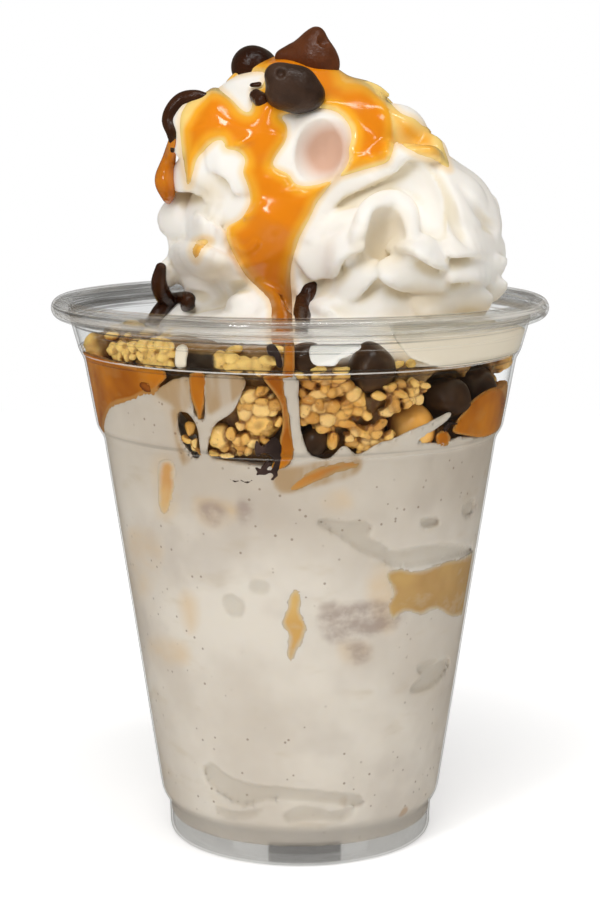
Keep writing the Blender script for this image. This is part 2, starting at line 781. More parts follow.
# Yogurt. Outlines are in the picture's pixels, and angles in degrees from the front, right side positive.
yogurt = {
    "step": 0.62,
    "box": ((-45.5, -45.5, 2.5), (45.5, 45.5, 101)),
    "floor": 4.1,
    "into": 0.16,
    "middle": 82,
    # height of its top at the wall, by angle
    "top": ((-180, 86), (-150, 85), (-120, 84.5), (-95, 83), (-80, 82), (-72, 82.6), (-66, 86),
        (-60.6, 88.5), (-52, 91.2), (-46, 92.3), (-40, 93.2), (-35, 90.8), (-30.5, 85), (-27, 82),
        (-22, 81.4), (-13.4, 80.6), (0, 80.4), (12, 81.6), (20, 82.6), (30, 83.6), (40, 83.8), (52, 83.6),
        (64, 83.8), (75, 83.4), (90, 85), (120, 86), (150, 87), (180, 86)),
    # what it smears on the wall above that
    "smears": (
        ((100, 470), (103, 432), (104, 420), (108, 408), (116, 402), (130, 399), (140, 394), (146, 391),
         (152, 392), (158, 388), (168, 382), (176, 378), (190, 378), (192, 395), (194, 412), (203, 420),
         (204, 400), (203, 376), (224, 374), (245, 378), (243, 390), (238, 402), (232, 412), (224, 418),
         (216, 423), (211, 432), (209, 441), (207, 452), (212, 460), (212, 475), (150, 480)),
        ((281, 376), (284, 395), (288, 415), (290, 430), (291, 445), (292, 456), (288, 468), (300, 476),
         (312, 468), (313, 458), (308, 452), (303, 440), (300, 425), (299, 410), (298, 395), (297, 376)),
        ((312, 470), (313, 457), (325, 459), (333, 455), (340, 447), (346, 446), (352, 452), (358, 454),
         (368, 449), (378, 443), (388, 440), (398, 436), (408, 431), (420, 426), (430, 421), (440, 416),
         (448, 412), (452, 413), (447, 420), (438, 427), (428, 434), (415, 442), (424, 442), (432, 444),
         (437, 448), (445, 446), (451, 440), (462, 436), (480, 440), (494, 438), (500, 450), (480, 475),
         (380, 478))),
    "holes": (
        ((178, 414), (182, 412), (187, 413), (193, 420), (197, 430), (199, 445), (200, 455), (196, 459),
         (190, 452), (184, 444), (180, 434), (178, 424)),),
    # air pockets under the glass, with how deep they are
    "pockets": (
        (((318, 519), (330, 520), (345, 522), (360, 521), (372, 528), (366, 535), (374, 542), (386, 548),
         (384, 558), (372, 556), (358, 550), (346, 541), (334, 534), (322, 528)), 0.6),
        (((382, 549), (396, 552), (420, 546), (440, 544), (466, 546), (470, 552), (440, 560), (410, 566),
         (392, 566), (382, 560)), 0.5),
        (((420, 521), (430, 517), (438, 520), (436, 526), (424, 527)), 0.7),
        (((410, 688), (420, 678), (434, 664), (446, 658), (446, 668), (438, 680), (424, 690), (412, 692)),
         0.5),
        (((416, 668), (424, 662), (434, 660), (430, 668), (420, 674)), 0.4),
        (((222, 598), (230, 594), (240, 600), (244, 608), (240, 616), (230, 615), (224, 607)), 0.45),
        (((250, 582), (260, 580), (268, 584), (268, 592), (258, 594), (250, 590)), 0.35),
        (((204, 768), (212, 764), (222, 772), (236, 780), (262, 786), (290, 788), (320, 791), (350, 794),
         (362, 798), (358, 806), (330, 802), (296, 799), (262, 800), (246, 806), (226, 798), (210, 784)),
         0.6),
        (((214, 806), (240, 812), (262, 808), (250, 818), (226, 818)), 0.3),
        (((286, 812), (306, 806), (330, 812), (352, 808), (344, 820), (310, 818), (288, 822)), 0.35),
        (((462, 506), (470, 500), (474, 506), (468, 516), (462, 514)), 0.5)),
    # unseen pockets: angle, height, half width, half height, depth, roll
    "farPockets": ((150, 50, 9, 5, 1.2, 10), (-135, 30, 8, 4, 1.2, -10), (105, 24, 5, 2, 1, 8),
        (-100, 66, 5, 2.4, 1, -14), (178, 20, 6, 2.2, 1, 4), (120, 68, 6, 2.2, 1, 12)),
    # where it is mixed with caramel
    "tints": (
        ((148, 388), (160, 380), (176, 374), (192, 376), (193, 400), (186, 412), (176, 416), (170, 406),
         (158, 398)),
        ((170, 408), (180, 412), (177, 430), (183, 448), (191, 460), (182, 466), (176, 448), (172, 430)),
        ((204, 372), (226, 372), (248, 376), (244, 390), (236, 400), (222, 408), (206, 414)),
        ((272, 470), (300, 466), (330, 458), (360, 458), (356, 474), (320, 486), (280, 494))),
    "stains": (
        ((158, 384), (190, 378), (192, 400), (180, 412), (176, 432), (182, 448), (190, 460), (180, 462),
         (172, 440), (168, 412), (156, 398)),
        ((154, 458), (176, 456), (178, 480), (174, 512), (160, 516), (156, 490)),
        ((184, 592), (194, 600), (196, 622), (190, 632), (184, 620), (180, 604)),
        ((130, 530), (160, 540), (156, 572), (140, 600), (130, 574)),
        ((196, 498), (224, 500), (240, 512), (220, 526), (200, 520)),
        ((262, 506), (280, 510), (284, 522), (266, 522)),
        ((340, 644), (366, 644), (368, 658), (346, 662)),
        ((150, 640), (182, 644), (186, 662), (160, 664)),
        ((366, 580), (392, 570), (396, 624), (380, 630)),
        ((322, 500), (344, 490), (350, 506), (330, 512))),
    # greyer crumbs in it
    "crumbs": (
        ((200, 504), (216, 502), (226, 514), (214, 526), (202, 518)),
        ((236, 504), (248, 500), (252, 516), (242, 524)),
        ((346, 646), (368, 644), (370, 656), (356, 664)),
        ((318, 616), (348, 604), (386, 602), (392, 624), (370, 636), (330, 642)),
        ((384, 606), (400, 600), (404, 616), (392, 628)),
        ((320, 606), (334, 602), (336, 610), (324, 612))),
    "colours": {"plain": (204, 193, 179), "pale": (220, 211, 198), "streak": (196, 180, 155),
        "mottle": (182, 170, 158), "foot": (160, 154, 146), "upper": (158, 140, 116),
        "stain": (212, 176, 122), "tint": (168, 134, 88), "speck": (112, 84, 58),
        "greyCrumb": (158, 138, 126), "crumb": (170, 130, 86), "hollow": (190, 174, 154)},
}


# height of the yogurt's top at a place
def yogurtTop(x, y):
    angle = np.degrees(np.arctan2(x, -y))
    edge = np.interp(angle, *zip(*yogurt["top"]))
    share = np.minimum(np.sqrt(x * x + y * y) / 40.0, 1.0)
    return yogurt["middle"] + (edge - yogurt["middle"]) * share ** 2


def yogurtFinish():
    tones = tonesOf(yogurt)
    finish = Finish("yogurt")
    at = finish.place()
    height = finish.length("Z", at)
    cloudy = finish.noise(38.0, 4.0, 0.55, at)
    streaky = finish.noise(70.0, 3.0, 0.6, at, (1.0, 1.0, 2.6))
    fine = finish.noise(420.0, 3.0, 0.6, at)
    mottle = finish.rise(finish.noise(30.0, 4.0, 0.6, at), 0.52, 0.66)
    stain = finish.attribute("stain") * finish.rise(cloudy + streaky * 0.6, 0.55, 0.95)
    blurred = finish.noise(260.0, 2.0, 0.5, at, (1.0, 1.0, 0.07))
    tint = finish.rise(finish.attribute("tint") + (cloudy - 0.5) * 0.8, 0.1, 1.0)
    speck = finish.rise(finish.dots(430.0, at), 0.15, 0.07)
    speck = speck * finish.rise(finish.noise(60.0, 2.0, 0.5, at), 0.44, 0.54)
    crumb = finish.rise(finish.dots(95.0, at), 0.15, 0.09)
    crumb = crumb * finish.rise(finish.noise(30.0, 2.0, 0.5, at), 0.56, 0.66)
    grey = finish.attribute("crumb") * finish.rise(streaky + fine * 0.5, 0.55, 0.9)
    colour = finish.blend(finish.rise(cloudy, 0.35, 0.66), tones["plain"], tones["pale"])
    colour = finish.layers(colour, tones, (
        (finish.rise(streaky, 0.56, 0.74) * 0.4, "streak"), (mottle * 0.4, "mottle"),
        (finish.rise(height, 10.0, 7.0) * 0.45, "foot"), (finish.rise(height, 58.0, 80.0) * 0.3, "upper"),
        (stain * 0.5, "stain"), (tint * (0.35 + finish.rise(blurred, 0.4, 0.6) * 0.5), "tint"),
        (speck * 0.6, "speck"), (grey * 0.75, "greyCrumb"), (crumb * 0.6, "crumb"),
        (finish.attribute("hollow") * 0.25, "hollow")))
    normal = finish.bump(fine, 0.12, 0.0004, finish.bump(cloudy, 0.2, 0.0015))
    return finish.done(finish.principled({
        "Base Color": colour, "Roughness": 0.32 + cloudy * 0.2, "Normal": normal, "Subsurface Weight": 0.25,
        "Subsurface Radius": (0.0035, 0.0028, 0.002), "Subsurface Scale": 1.0}))


def makeYogurt():
    volume = Volume(*yogurt["box"], yogurt["step"])
    x, y, z = volume.axes()
    radius = np.sqrt(x * x + y * y)
    body = smoothMax((z - yogurtTop(x, y)) * 0.9, yogurt["floor"] - z, 0.8)
    volume.values[:] = smoothMax(body, radius - wallAt(z) - 1.6, 1.0)
    for outline in yogurt["smears"]:
        wallLayer(volume, outline, 1.3, 0.8)
    for outline in yogurt["holes"]:
        wallLayer(volume, outline, 5.0, 0.4, carve=True)
    for outline, depth in yogurt["pockets"]:
        wallLayer(volume, outline, depth, 0.7, carve=True)
    for angle, height, wide, tall, depth, roll in yogurt["farPockets"]:
        patch(volume, angle, height, wide, tall, depth + yogurt["into"], roll, 0.3, carve=True)
    trimToCup(volume, yogurt["into"])
    piece = volume.mesh("yogurt_body")
    dropScraps(piece)
    pockets = [outline for outline, _ in yogurt["pockets"]]
    for name, outlines, soft in (("stain", yogurt["stains"], 2.4), ("tint", yogurt["tints"], 1.6),
                                 ("crumb", yogurt["crumbs"], 1.6), ("hollow", pockets, 0.8)):
        addAttribute(piece, name, shareWithin(piece, outlines, soft))
    dress(piece, yogurtFinish(), "yogurt")


makeYogurt()
print("yogurt made")


# Caramel poured in the cup, and what of it marbles the yogurt.
caramel = {
    "step": 0.5,
    "pocketStep": 0.4,
    "box": ((-45, -45, 74), (45, 45, 106)),
    "into": 0.12,
    # top of the pooled caramel at the wall, by angle
    "top": ((-180, 88), (-150, 86), (-120, 90), (-95, 96), (-72, 97.6), (-46, 98), (-40, 97.6), (-36, 88),
        (-20, 78), (40, 78), (60, 80), (66, 92), (76, 93), (86, 88), (110, 87.6), (150, 88.6), (180, 88)),
    "smears": (
        ((80, 352), (82, 372), (88, 402), (96, 427), (103, 433), (104, 420), (108, 408), (116, 402),
         (130, 399), (140, 394), (146, 391), (152, 390), (160, 384), (166, 378), (162, 370), (130, 366),
         (100, 356)),
        ((189, 374), (205, 374), (205, 396), (203, 410), (199, 422), (195, 410), (190, 396)),
        ((262, 376), (282, 376), (285, 395), (289, 415), (291, 430), (294, 445), (293, 457), (287, 466),
         (278, 472), (270, 480), (262, 484), (270, 468), (276, 455), (279, 440), (282, 425), (281, 410),
         (277, 398), (268, 386)),
        ((452, 432), (455, 422), (463, 412), (470, 402), (478, 395), (488, 389), (496, 387), (504, 390),
         (507, 402), (503, 415), (498, 430), (490, 437), (480, 438), (462, 435)),
        ((274, 489), (298, 472), (320, 463), (345, 461), (358, 463), (352, 469), (335, 476), (310, 482),
         (290, 488)),
        ((436, 434), (444, 430), (450, 436), (448, 445), (440, 447), (435, 441)),
        ((284, 340), (293, 340), (294, 360), (293, 378), (283, 378), (283, 360))),
    # name, node that it stands for, outline, two colours
    "pockets": (
        ("caramel_swirl_right", "caramel_pocket_right", ((384, 574), (398, 568), (414, 570), (430, 566),
         (448, 560), (464, 556), (478, 546), (482, 552), (478, 578), (474, 596), (466, 612), (452, 618),
         (436, 610), (420, 616), (404, 612), (392, 622), (386, 606), (392, 592)), (178, 140, 88),
         (204, 166, 104)),
        ("caramel_swirl_front", "caramel_pocket_front", ((288, 594), (296, 589), (302, 596), (301, 612),
         (307, 624), (304, 640), (297, 652), (290, 664), (285, 652), (287, 636), (280, 622), (286, 608)),
         (206, 160, 92), (224, 188, 124)),
        ("caramel_swirl_left", "caramel_streak_left", ((158, 462), (168, 458), (176, 466), (175, 488),
         (170, 508), (164, 515), (158, 506), (157, 482)), (200, 150, 92), (214, 176, 122)),
        ("caramel_streak_front", "caramel_layer", ((288, 491), (294, 482), (304, 474), (320, 466),
         (340, 461), (358, 462), (356, 468), (336, 474), (316, 482), (298, 490)), (172, 100, 28),
         (204, 140, 62)),
        ("caramel_bead", "caramel_layer", ((138, 384), (143, 381), (149, 384), (152, 389), (149, 393),
         (143, 391)), (110, 52, 6), (190, 106, 24))),
    "pocketOver": 0.06,  # how far pockets stand out of the yogurt at the glass
    # the unseen one: its place, and lumps of (angle, height, half width, half height)
    "farPlace": (165, 66),
    "farPocket": ((155, 64.8, 4.6, 2.6), (161, 66.2, 5, 4), (168, 66, 5, 4.3), (174.5, 67.2, 4.6, 2.8)),
    "colours": {"low": (148, 78, 4), "high": (202, 122, 16), "edge": (176, 124, 62),
        "farLow": (206, 160, 92), "farHigh": (224, 188, 124), "pocketEdge": (200, 184, 162),
        "beadEdge": (84, 38, 6), "streakEdge": (174, 140, 92)},
}


# low and high are its two tones, and edge is what it fades to where the attribute "inner" is low
def caramelFinish(name, low, high, edge=None, coat=0.05):
    finish = Finish(name)
    at = finish.place()
    cloudy = finish.noise(55.0, 3.0, 0.55, at)
    fine = finish.noise(300.0, 2.0, 0.5, at)
    colour = finish.blend(finish.rise(cloudy, 0.36, 0.68), low, high)
    if edge:
        streaky = finish.noise(150.0, 3.0, 0.6, at, (1.0, 1.0, 1.8))
        soft = finish.rise(finish.attribute("inner") + (cloudy + streaky - 1.0) * 0.8, 0.05, 0.7)
        colour = finish.blend(finish.rise(streaky, 0.5, 0.7) * 0.3, colour, edge)
        colour = finish.blend(soft, edge, colour)
    normal = finish.bump(fine, 0.08, 0.0003, finish.bump(cloudy, 0.15, 0.001))
    return finish.done(finish.principled({
        "Base Color": colour, "Roughness": 0.16 + cloudy * 0.12, "Normal": normal, "Subsurface Weight": 0.25,
        "Subsurface Radius": (0.004, 0.002, 0.0006), "Subsurface Scale": 1.0, "Specular IOR Level": 0.25,
        "Coat Weight": coat, "Coat Roughness": 0.06}))


def makeCaramelLayer():
    volume = Volume(*caramel["box"], caramel["step"])
    x, y, z = volume.axes()
    angle = np.degrees(np.arctan2(x, -y))
    top = np.interp(angle, *zip(*caramel["top"]))
    share = np.minimum(np.sqrt(x * x + y * y) / 40.0, 1.0)
    under = yogurtTop(x, y)
    top = under + np.where(top > under, (top - under) * share ** 3, top - under)
    volume.values[:] = smoothMax((z - top) * 0.9, (under - 0.8 - z) * 0.9, 0.3)
    for outline in caramel["smears"]:
        wallLayer(volume, outline, 1.2, 0.5)
    trimToCup(volume, caramel["into"])
    piece = volume.mesh("caramel_layer_poured")
    addAttribute(piece, "inner", shareWithin(piece, caramel["smears"], 1.0, 0.0))
    tones = tonesOf(caramel)
    finish = caramelFinish("poured caramel", tones["low"], tones["high"], tones["edge"])
    dress(piece, finish, "caramel_layer")


def makeCaramelPockets():
    tones = tonesOf(caramel)
    into = yogurt["into"] + caramel["pocketOver"]
    edges = {"caramel_bead": tones["beadEdge"], "caramel_streak_front": tones["streakEdge"]}
    for name, node, outline, low, high in caramel["pockets"]:
        middle = onGlass(*np.array(outline).mean(axis=0))[0]
        volume = Volume(middle - [14.0, 12.0, 14.0], middle + [14.0, 14.0, 14.0], caramel["pocketStep"])
        wallLayer(volume, outline, 0.9, 0.2)
        trimToCup(volume, into)
        piece = volume.mesh(name)
        addAttribute(piece, "inner", shareWithin(piece, [outline], 2.2, 0.15))
        edge = edges.get(name, tones["pocketEdge"])
        finish = caramelFinish(name.replace("_", " "), shown(*low), shown(*high), edge)
        dress(piece, finish, node)
    middle = onWall(*caramel["farPlace"])[0]
    volume = Volume(middle - [14.0, 8.0, 7.0], middle + [14.0, 8.0, 7.0], caramel["pocketStep"])
    for angle, z, wide, tall in caramel["farPocket"]:
        patch(volume, angle, z, wide, tall, 1.0, 8.0, 0.6)
    trimToCup(volume, into)
    finish = caramelFinish("caramel swirl back", tones["farLow"], tones["farHigh"])
    dress(volume.mesh("caramel_swirl_back"), finish, "caramel_pocket_back")


makeCaramelLayer()
makeCaramelPockets()
print("caramel made")


# Coated candies: name, node, place in the picture, radius, how far in from the glass, whether it is dark.
candies = {
    "rings": 40,
    "balls": (
        ("candy_front_right", "candy_dark_front_right", (446, 398), 4.4, 0.05, True),
        ("candy_caramel_right_ball", "candy_caramel_right", (411, 429), 4.5, 0.4, False),
        ("candy_upper", "candy_dark_upper_front", (372, 368), 4.4, 0.2, True),
        ("candy_right", "candy_dark_right", (475, 387), 4.2, 0.8, True),
        ("candy_middle", "candy_dark_middle", (306, 358), 3.1, 0.8, True),
        ("candy_low", "candy_dark_low_front", (313, 441), 2.7, 0.3, True)),
    # unseen ones have an angle and a height in place of one in the picture
    "unseen": (("candy_back", "candy_dark_back", 200, 93, 4.8, 0.4, True),
        ("candy_caramel_rear", "candy_caramel_back", 150, 91.5, 4.6, 0.6, False),
        ("candy_left", "candy_dark_left", -118, 94, 4.6, 0.6, True)),
    "colours": {"dark": (52, 31, 14), "darkSheen": (78, 52, 30), "pale": (242, 174, 80),
        "paleSheen": (252, 200, 114), "crumb": (36, 22, 18), "crumbSheen": (70, 50, 44)},
}


# Granola under the glass, in the picture's pixels: across, down, half width, half height, roll in degrees.
granola = {
    "step": 0.5,
    "fine": 0.3,
    "box": ((-45, -45, 76), (45, 45, 106)),
    "frontBox": ((-41, -44.5, 78), (30, -12, 104.5)),
    # clusters round the unseen side: first and last angle, angle between them, heights, highest top
    "clusterTurns": (80, 276, 9.5),
    "clusterHeight": 88.6,
    "clusterRise": 8.4,
    "lastClusterHeight": 99.5,
    "clusterTop": 102.8,
    "clusterGrains": 15,
    # grains on its top, which leave the front clear past a radius
    "topGrains": 620,
    "topHeight": 98.6,
    "topReach": 38,
    "clearReach": 31,
    # its top by angle
    "top": ((-180, 98.5), (-115, 98.5), (-100, 95.5), (-60, 95.5), (-54, 102.3), (-8, 102.3), (-3, 98.5),
        (180, 98.5)),
    # places filled with grains, and how many
    "masses": (
        (((297, 372), (312, 371), (330, 374), (350, 380), (362, 392), (368, 404), (364, 414), (352, 424),
         (335, 428), (325, 434), (312, 428), (301, 420), (298, 400)), 70),
        (((345, 432), (358, 424), (372, 420), (380, 428), (392, 432), (394, 440), (380, 446), (368, 452),
         (356, 454), (345, 446)), 26),
        (((384, 384), (400, 382), (420, 380), (426, 386), (420, 402), (405, 406), (392, 412), (384, 404)),
         20),
        (((238, 395), (250, 386), (268, 388), (280, 400), (283, 420), (278, 434), (262, 438), (245, 434),
         (236, 420)), 34),
        (((226, 440), (240, 430), (262, 438), (258, 452), (240, 454), (222, 458), (212, 456)), 18),
        (((104, 352), (112, 343), (130, 343), (137, 348), (136, 361), (120, 361)), 18),
        (((139, 344), (150, 340), (171, 341), (173, 352), (173, 368), (150, 368), (139, 362)), 44),
        (((212, 368), (216, 352), (230, 352), (240, 359), (262, 358), (276, 356), (278, 368), (262, 372),
         (230, 373)), 30)),
    "grains": ((297, 375, 7, 5, 0), (308, 383, 8, 6, 10), (323, 378, 10, 6, 0), (340, 378, 9, 5, -10),
        (318, 393, 9, 6, 0), (331, 392, 7, 6, 20), (345, 386, 9, 6, 0), (353, 393, 8, 7, 0),
        (359, 400, 7, 8, 0), (309, 398, 8, 6, 0), (305, 410, 7, 7, 0), (318, 406, 10, 8, 0),
        (332, 406, 8, 8, 30), (346, 404, 9, 8, 0), (356, 411, 8, 7, 0), (341, 415, 11, 5, 10),
        (326, 419, 9, 7, 0), (311, 418, 8, 7, 0), (303, 421, 5, 6, 0), (322, 428, 8, 6, 0),
        (346, 423, 10, 4, 15), (332, 440, 6, 9, 0), (358, 430, 15, 4.6, 28), (350, 443, 8, 4.6, 0),
        (363, 444, 7, 8, 20), (373, 442, 7, 7, -15), (376, 433, 6, 5, 0), (366, 416, 6, 5, 0),
        (380, 425, 8, 4.4, -25), (388, 435, 6.5, 4.6, -35), (385, 412, 8, 6, 0), (392, 404, 7, 7, 0),
        (406, 403, 5, 4.6, 0), (399, 394, 9, 4, 15), (412, 391, 9, 6, 0), (378, 396, 8, 4, 10),
        (390, 387, 7, 4.6, -30), (419, 399, 5, 6, 0), (425, 386, 6, 4, 20), (262, 422, 19, 16, 0),
        (262, 409, 11, 8, 0), (250, 395, 10, 9, 0), (260, 392, 9, 5, -30), (246, 410, 8, 11, 0),
        (276, 405, 9, 8, 0), (240, 426, 5, 5, 0), (230, 434, 5, 6, 0), (238, 440, 7, 5.4, 0),
        (253, 443, 7, 5, 0), (264, 441, 6, 4, 20), (248, 451, 3.4, 6.4, 30), (221, 436, 13, 13, 0),
        (213, 453, 6, 3.6, 20), (226, 456, 9, 2.8, 0), (190, 428, 6, 7, 0), (186, 439, 8, 3.4, 25),
        (195, 445, 4, 7, 0), (112, 350, 7, 5, 0), (120, 347, 7, 5, 0), (128, 352, 7, 7, 0),
        (134, 346, 6, 5, 0), (116, 358, 7, 4, 0), (143, 346, 7, 6, 0), (154, 345, 7, 6, 0),
        (165, 346, 7, 6, 0), (143, 355, 7, 7, 0), (154, 356, 8, 7, 0), (165, 356, 7, 7, 0),
        (148, 363, 7, 5, 0), (160, 364, 7, 5, 0), (168, 364, 5, 5, 0), (220, 360, 8, 9, 0),
        (231, 358, 8, 6, 10), (232, 367, 9, 5, 0), (244, 364, 10, 7, 0), (256, 365, 10, 6, 0),
        (266, 361, 8, 6, 0), (274, 360, 5, 5, 0), (212, 378, 6, 4, 0), (340, 370, 9, 4, 0),
        (318, 369, 9, 4, 0)),
    "loose": 190,
    # where a dark gap shows between the grains and the glass
    "gaps": (((186, 354), (200, 353), (214, 356), (213, 372), (200, 373), (186, 372)),),
    "darkCrumbs": (
        ((256, 440), (262, 447), (268, 441), (275, 437), (281, 445), (280, 456), (274, 462), (269, 455),
         (262, 453), (257, 457), (254, 450)),
        ((276, 460), (281, 456), (279, 468), (274, 476), (271, 470)),
        ((266, 346), (273, 344), (279, 352), (282, 362), (281, 368), (276, 366), (274, 357), (268, 355))),
    # strokes of (across, down, half width in millimetres)
    "darkStrokes": (
        ((256, 468, 0.3), (262, 472, 0.7), (270, 471, 0.5), (276, 473, 0.6), (272, 479, 0.4)),
        ((268, 462, 0.5), (264, 468, 0.6), (257, 474, 0.4)),
        ((229, 478, 0.12), (235, 481, 0.3), (241, 480, 0.18), (247, 482, 0.36), (254, 479, 0.12)),
        ((443, 431, 0.2), (446, 427, 0.5), (450, 423, 0.3), (456, 424, 0.15))),
    "colours": {"low": (220, 156, 64), "high": (250, 200, 108), "lightGrain": (253, 216, 144),
        "darkGrain": (184, 120, 42), "upper": (255, 213, 120), "glint": (240, 204, 138),
        "pit": (112, 64, 20), "seam": (140, 84, 24), "crease": (124, 70, 16), "deep": (98, 60, 20),
        "gap": (74, 62, 48)},
}


# a grain at a place in the picture, against the glass or a gap behind it
def eggOnGlass(volume, u, v, wide, tall, roll, soft, deep=None, gap=0.0):
    deep = deep or min(wide, tall) * 0.95
    wide, tall, deep = (size / camera["grainScale"] for size in (wide, tall, deep))
    point, out = onGlass(u, v, deep + gap)
    turn = turnTowards(-out, roll)
    volume.egg(point, (wide, deep, tall), soft, turn)
    return point, (wide, deep, tall), turn


# for each point of a mesh, the tone of the grain it is on and how near it is to the next grain
def grainMarks(found, grains, rng):
    order = np.argsort(found[:, 0])
    across = found[order, 0]
    first, second, tone = np.full(len(found), 9.0), np.full(len(found), 9.0), np.full(len(found), 0.5)
    for centre, radii, turn in grains:
        reach = max(radii) + 1.0
        low, high = np.searchsorted(across, (centre[0] - reach, centre[0] + reach))
        part = order[low:high]
        near = np.linalg.norm((found[part] - centre) @ turn / radii, axis=1)
        closer = near < first[part]
        second[part] = np.where(closer, first[part], np.minimum(second[part], near))
        first[part] = np.minimum(first[part], near)
        tone[part] = np.where(closer, rng.uniform(), tone[part])
    return tone, np.clip(1.0 - (second - first) / 0.3, 0.0, 1.0)


def granolaFinish():
    tones = tonesOf(granola)
    finish = Finish("honey granola")
    at = finish.place()
    broad = finish.noise(160.0, 3.0, 0.6, at)
    fine = finish.noise(650.0, 4.0, 0.65, at)
    cells = finish.dots(330.0, at)
    tone = finish.attribute("tone")
    upper = finish.rise(finish.length("Z", at), 96.5, 98.5)
    crease = finish.rise(finish.attribute("crease"), 0.22, 0.75)
    colour = finish.blend(finish.rise(broad, 0.34, 0.68), tones["low"], tones["high"])
    colour = finish.layers(colour, tones, (
        (finish.rise(tone, 0.5, 1.0) * 0.6, "lightGrain"), (finish.rise(tone, 0.4, 0.0) * 0.55, "darkGrain"),
        (upper * 0.85, "upper"), (finish.rise(fine, 0.58, 0.74) * 0.5, "glint"),
        (finish.rise(fine, 0.42, 0.28) * 0.6, "pit"),
        (finish.attribute("seam") * (0.62 - upper * 0.4), "seam"),
        (crease * (0.8 - upper * 0.35), "crease"), (finish.attribute("deep") * 0.85, "deep"),
        (finish.attribute("gap"), "gap")))
    normal = finish.bump(cells, 0.45, 0.0008, finish.bump(fine, 0.4, 0.0006))
    return finish.done(finish.principled({
        "Base Color": colour, "Roughness": 0.34 + fine * 0.2, "Normal": normal, "Subsurface Weight": 0.15,
        "Subsurface Radius": (0.002, 0.001, 0.0005), "Subsurface Scale": 1.0, "Coat Weight": 0.5,
        "Coat Roughness": 0.12}))


# the bed of granola with clusters round the unseen side, and where its grains are
def heapShape(rng):
    volume = Volume(*granola["box"], granola["step"])
    x, y, z = volume.axes()
    radius = np.sqrt(x * x + y * y)
    top = np.interp(np.degrees(np.arctan2(x, -y)), *zip(*granola["top"]))
    volume.values[:] = smoothMax(smoothMax(radius - wallAt(z) + 3.5, z - top, 2.0),
                                 (yogurtTop(x, y) - 1.0 - z) * 0.9, 0.5)
    # room in front of the candies that show
    for _, _, place, size, back, _ in candies["balls"]:
        centre = onGlass(*place, size + back)[0]
        toEye = (eye - centre) / np.linalg.norm(eye - centre)
        for far in (0.0, 2.5, 5.0):
            volume.egg(centre + toEye * far, (size + 0.7,) * 3, 0.6, carve=True)
    heaped = []
    for angle in np.arange(*granola["clusterTurns"]):
        for level in range(2):
            height = granola["clusterHeight"] + level * granola["clusterRise"]
            height = (height if angle < 270 else granola["lastClusterHeight"]) + rng.uniform(-1.6, 1.6)
            size = rng.uniform(3.4, 5.2)
            centre = onWall(angle + rng.uniform(-3.0, 3.0), height, size * 0.95)[0]
            centre[2] = min(centre[2], granola["clusterTop"] - size)
            for _ in range(granola["clusterGrains"]):
                way = rng.normal(size=3)
                way /= np.linalg.norm(way)
                grain = rng.uniform(1.1, 2.3)
                heaped.append((centre + way * (size - grain) * 0.95,
                               (grain * rng.uniform(0.9, 1.5), grain * rng.uniform(0.6, 1.0), grain),
                               turnTowards(way, rng.uniform(0.0, 180.0))))
    for _ in range(granola["topGrains"]):
        turn, far = rng.uniform(0.0, 360.0), math.sqrt(rng.uniform(0.35, 1.0)) * granola["topReach"]
        if math.cos(math.radians(turn + 8.0)) > 0.36 and far > granola["clearReach"]:
            continue
        place = np.array([math.sin(math.radians(turn)) * far, -math.cos(math.radians(turn)) * far,
                          granola["topHeight"] + rng.uniform(-0.8, 1.8)])
        grain = rng.uniform(0.9, 2.0)
        heaped.append((place, (grain * rng.uniform(1.0, 1.6), grain, grain * 0.8),
                       turnTowards(np.array([rng.normal(), rng.normal(), 0.4]), rng.uniform(0.0, 180.0))))
    for place, radii, turn in heaped:
        volume.egg(place, radii, 0.2, turn)
    trimToCup(volume, 0.0)
    return volume, heaped


# places spread at random within an outline of the picture
def spread(outline, number, rng, apart=3.2):
    corner, span = np.min(outline, axis=0), np.ptp(outline, axis=0)
    chosen = []
    for _ in range(number * 40):
        place = corner + rng.uniform(0.0, 1.0, 2) * span
        far = min([np.hypot(*(place - other)) for other in chosen], default=99.0)
        if far > apart and outlineDistance(outline, place[:1], place[1:])[0] < -0.5:
            chosen.append(place)
        if len(chosen) == number:
            break
    return chosen


# the grains that show at the front, and where they are
def frontShape(rng):
    volume, grains = Volume(*granola["frontBox"], granola["fine"]), []
    for outline, number in granola["masses"]:
        for u, v in spread(outline, number, rng):
            size = rng.uniform(4.2, 6.6)
            wide, tall = size * rng.uniform(0.9, 1.35), size * rng.uniform(0.7, 1.0)
            roll = rng.uniform(0.0, 180.0)
            grains.append(eggOnGlass(volume, u, v, wide, tall, roll, 0.04, gap=rng.uniform(0.3, 2.2)))
    for u, v, wide, tall, roll in granola["grains"]:
        grains.append(eggOnGlass(volume, u, v, wide * 1.04, tall * 1.04, roll, 0.04, min(wide, tall) * 1.1,
                                 rng.uniform(0.0, 0.8)))
    trimToCup(volume, 0.0)
    return volume, grains


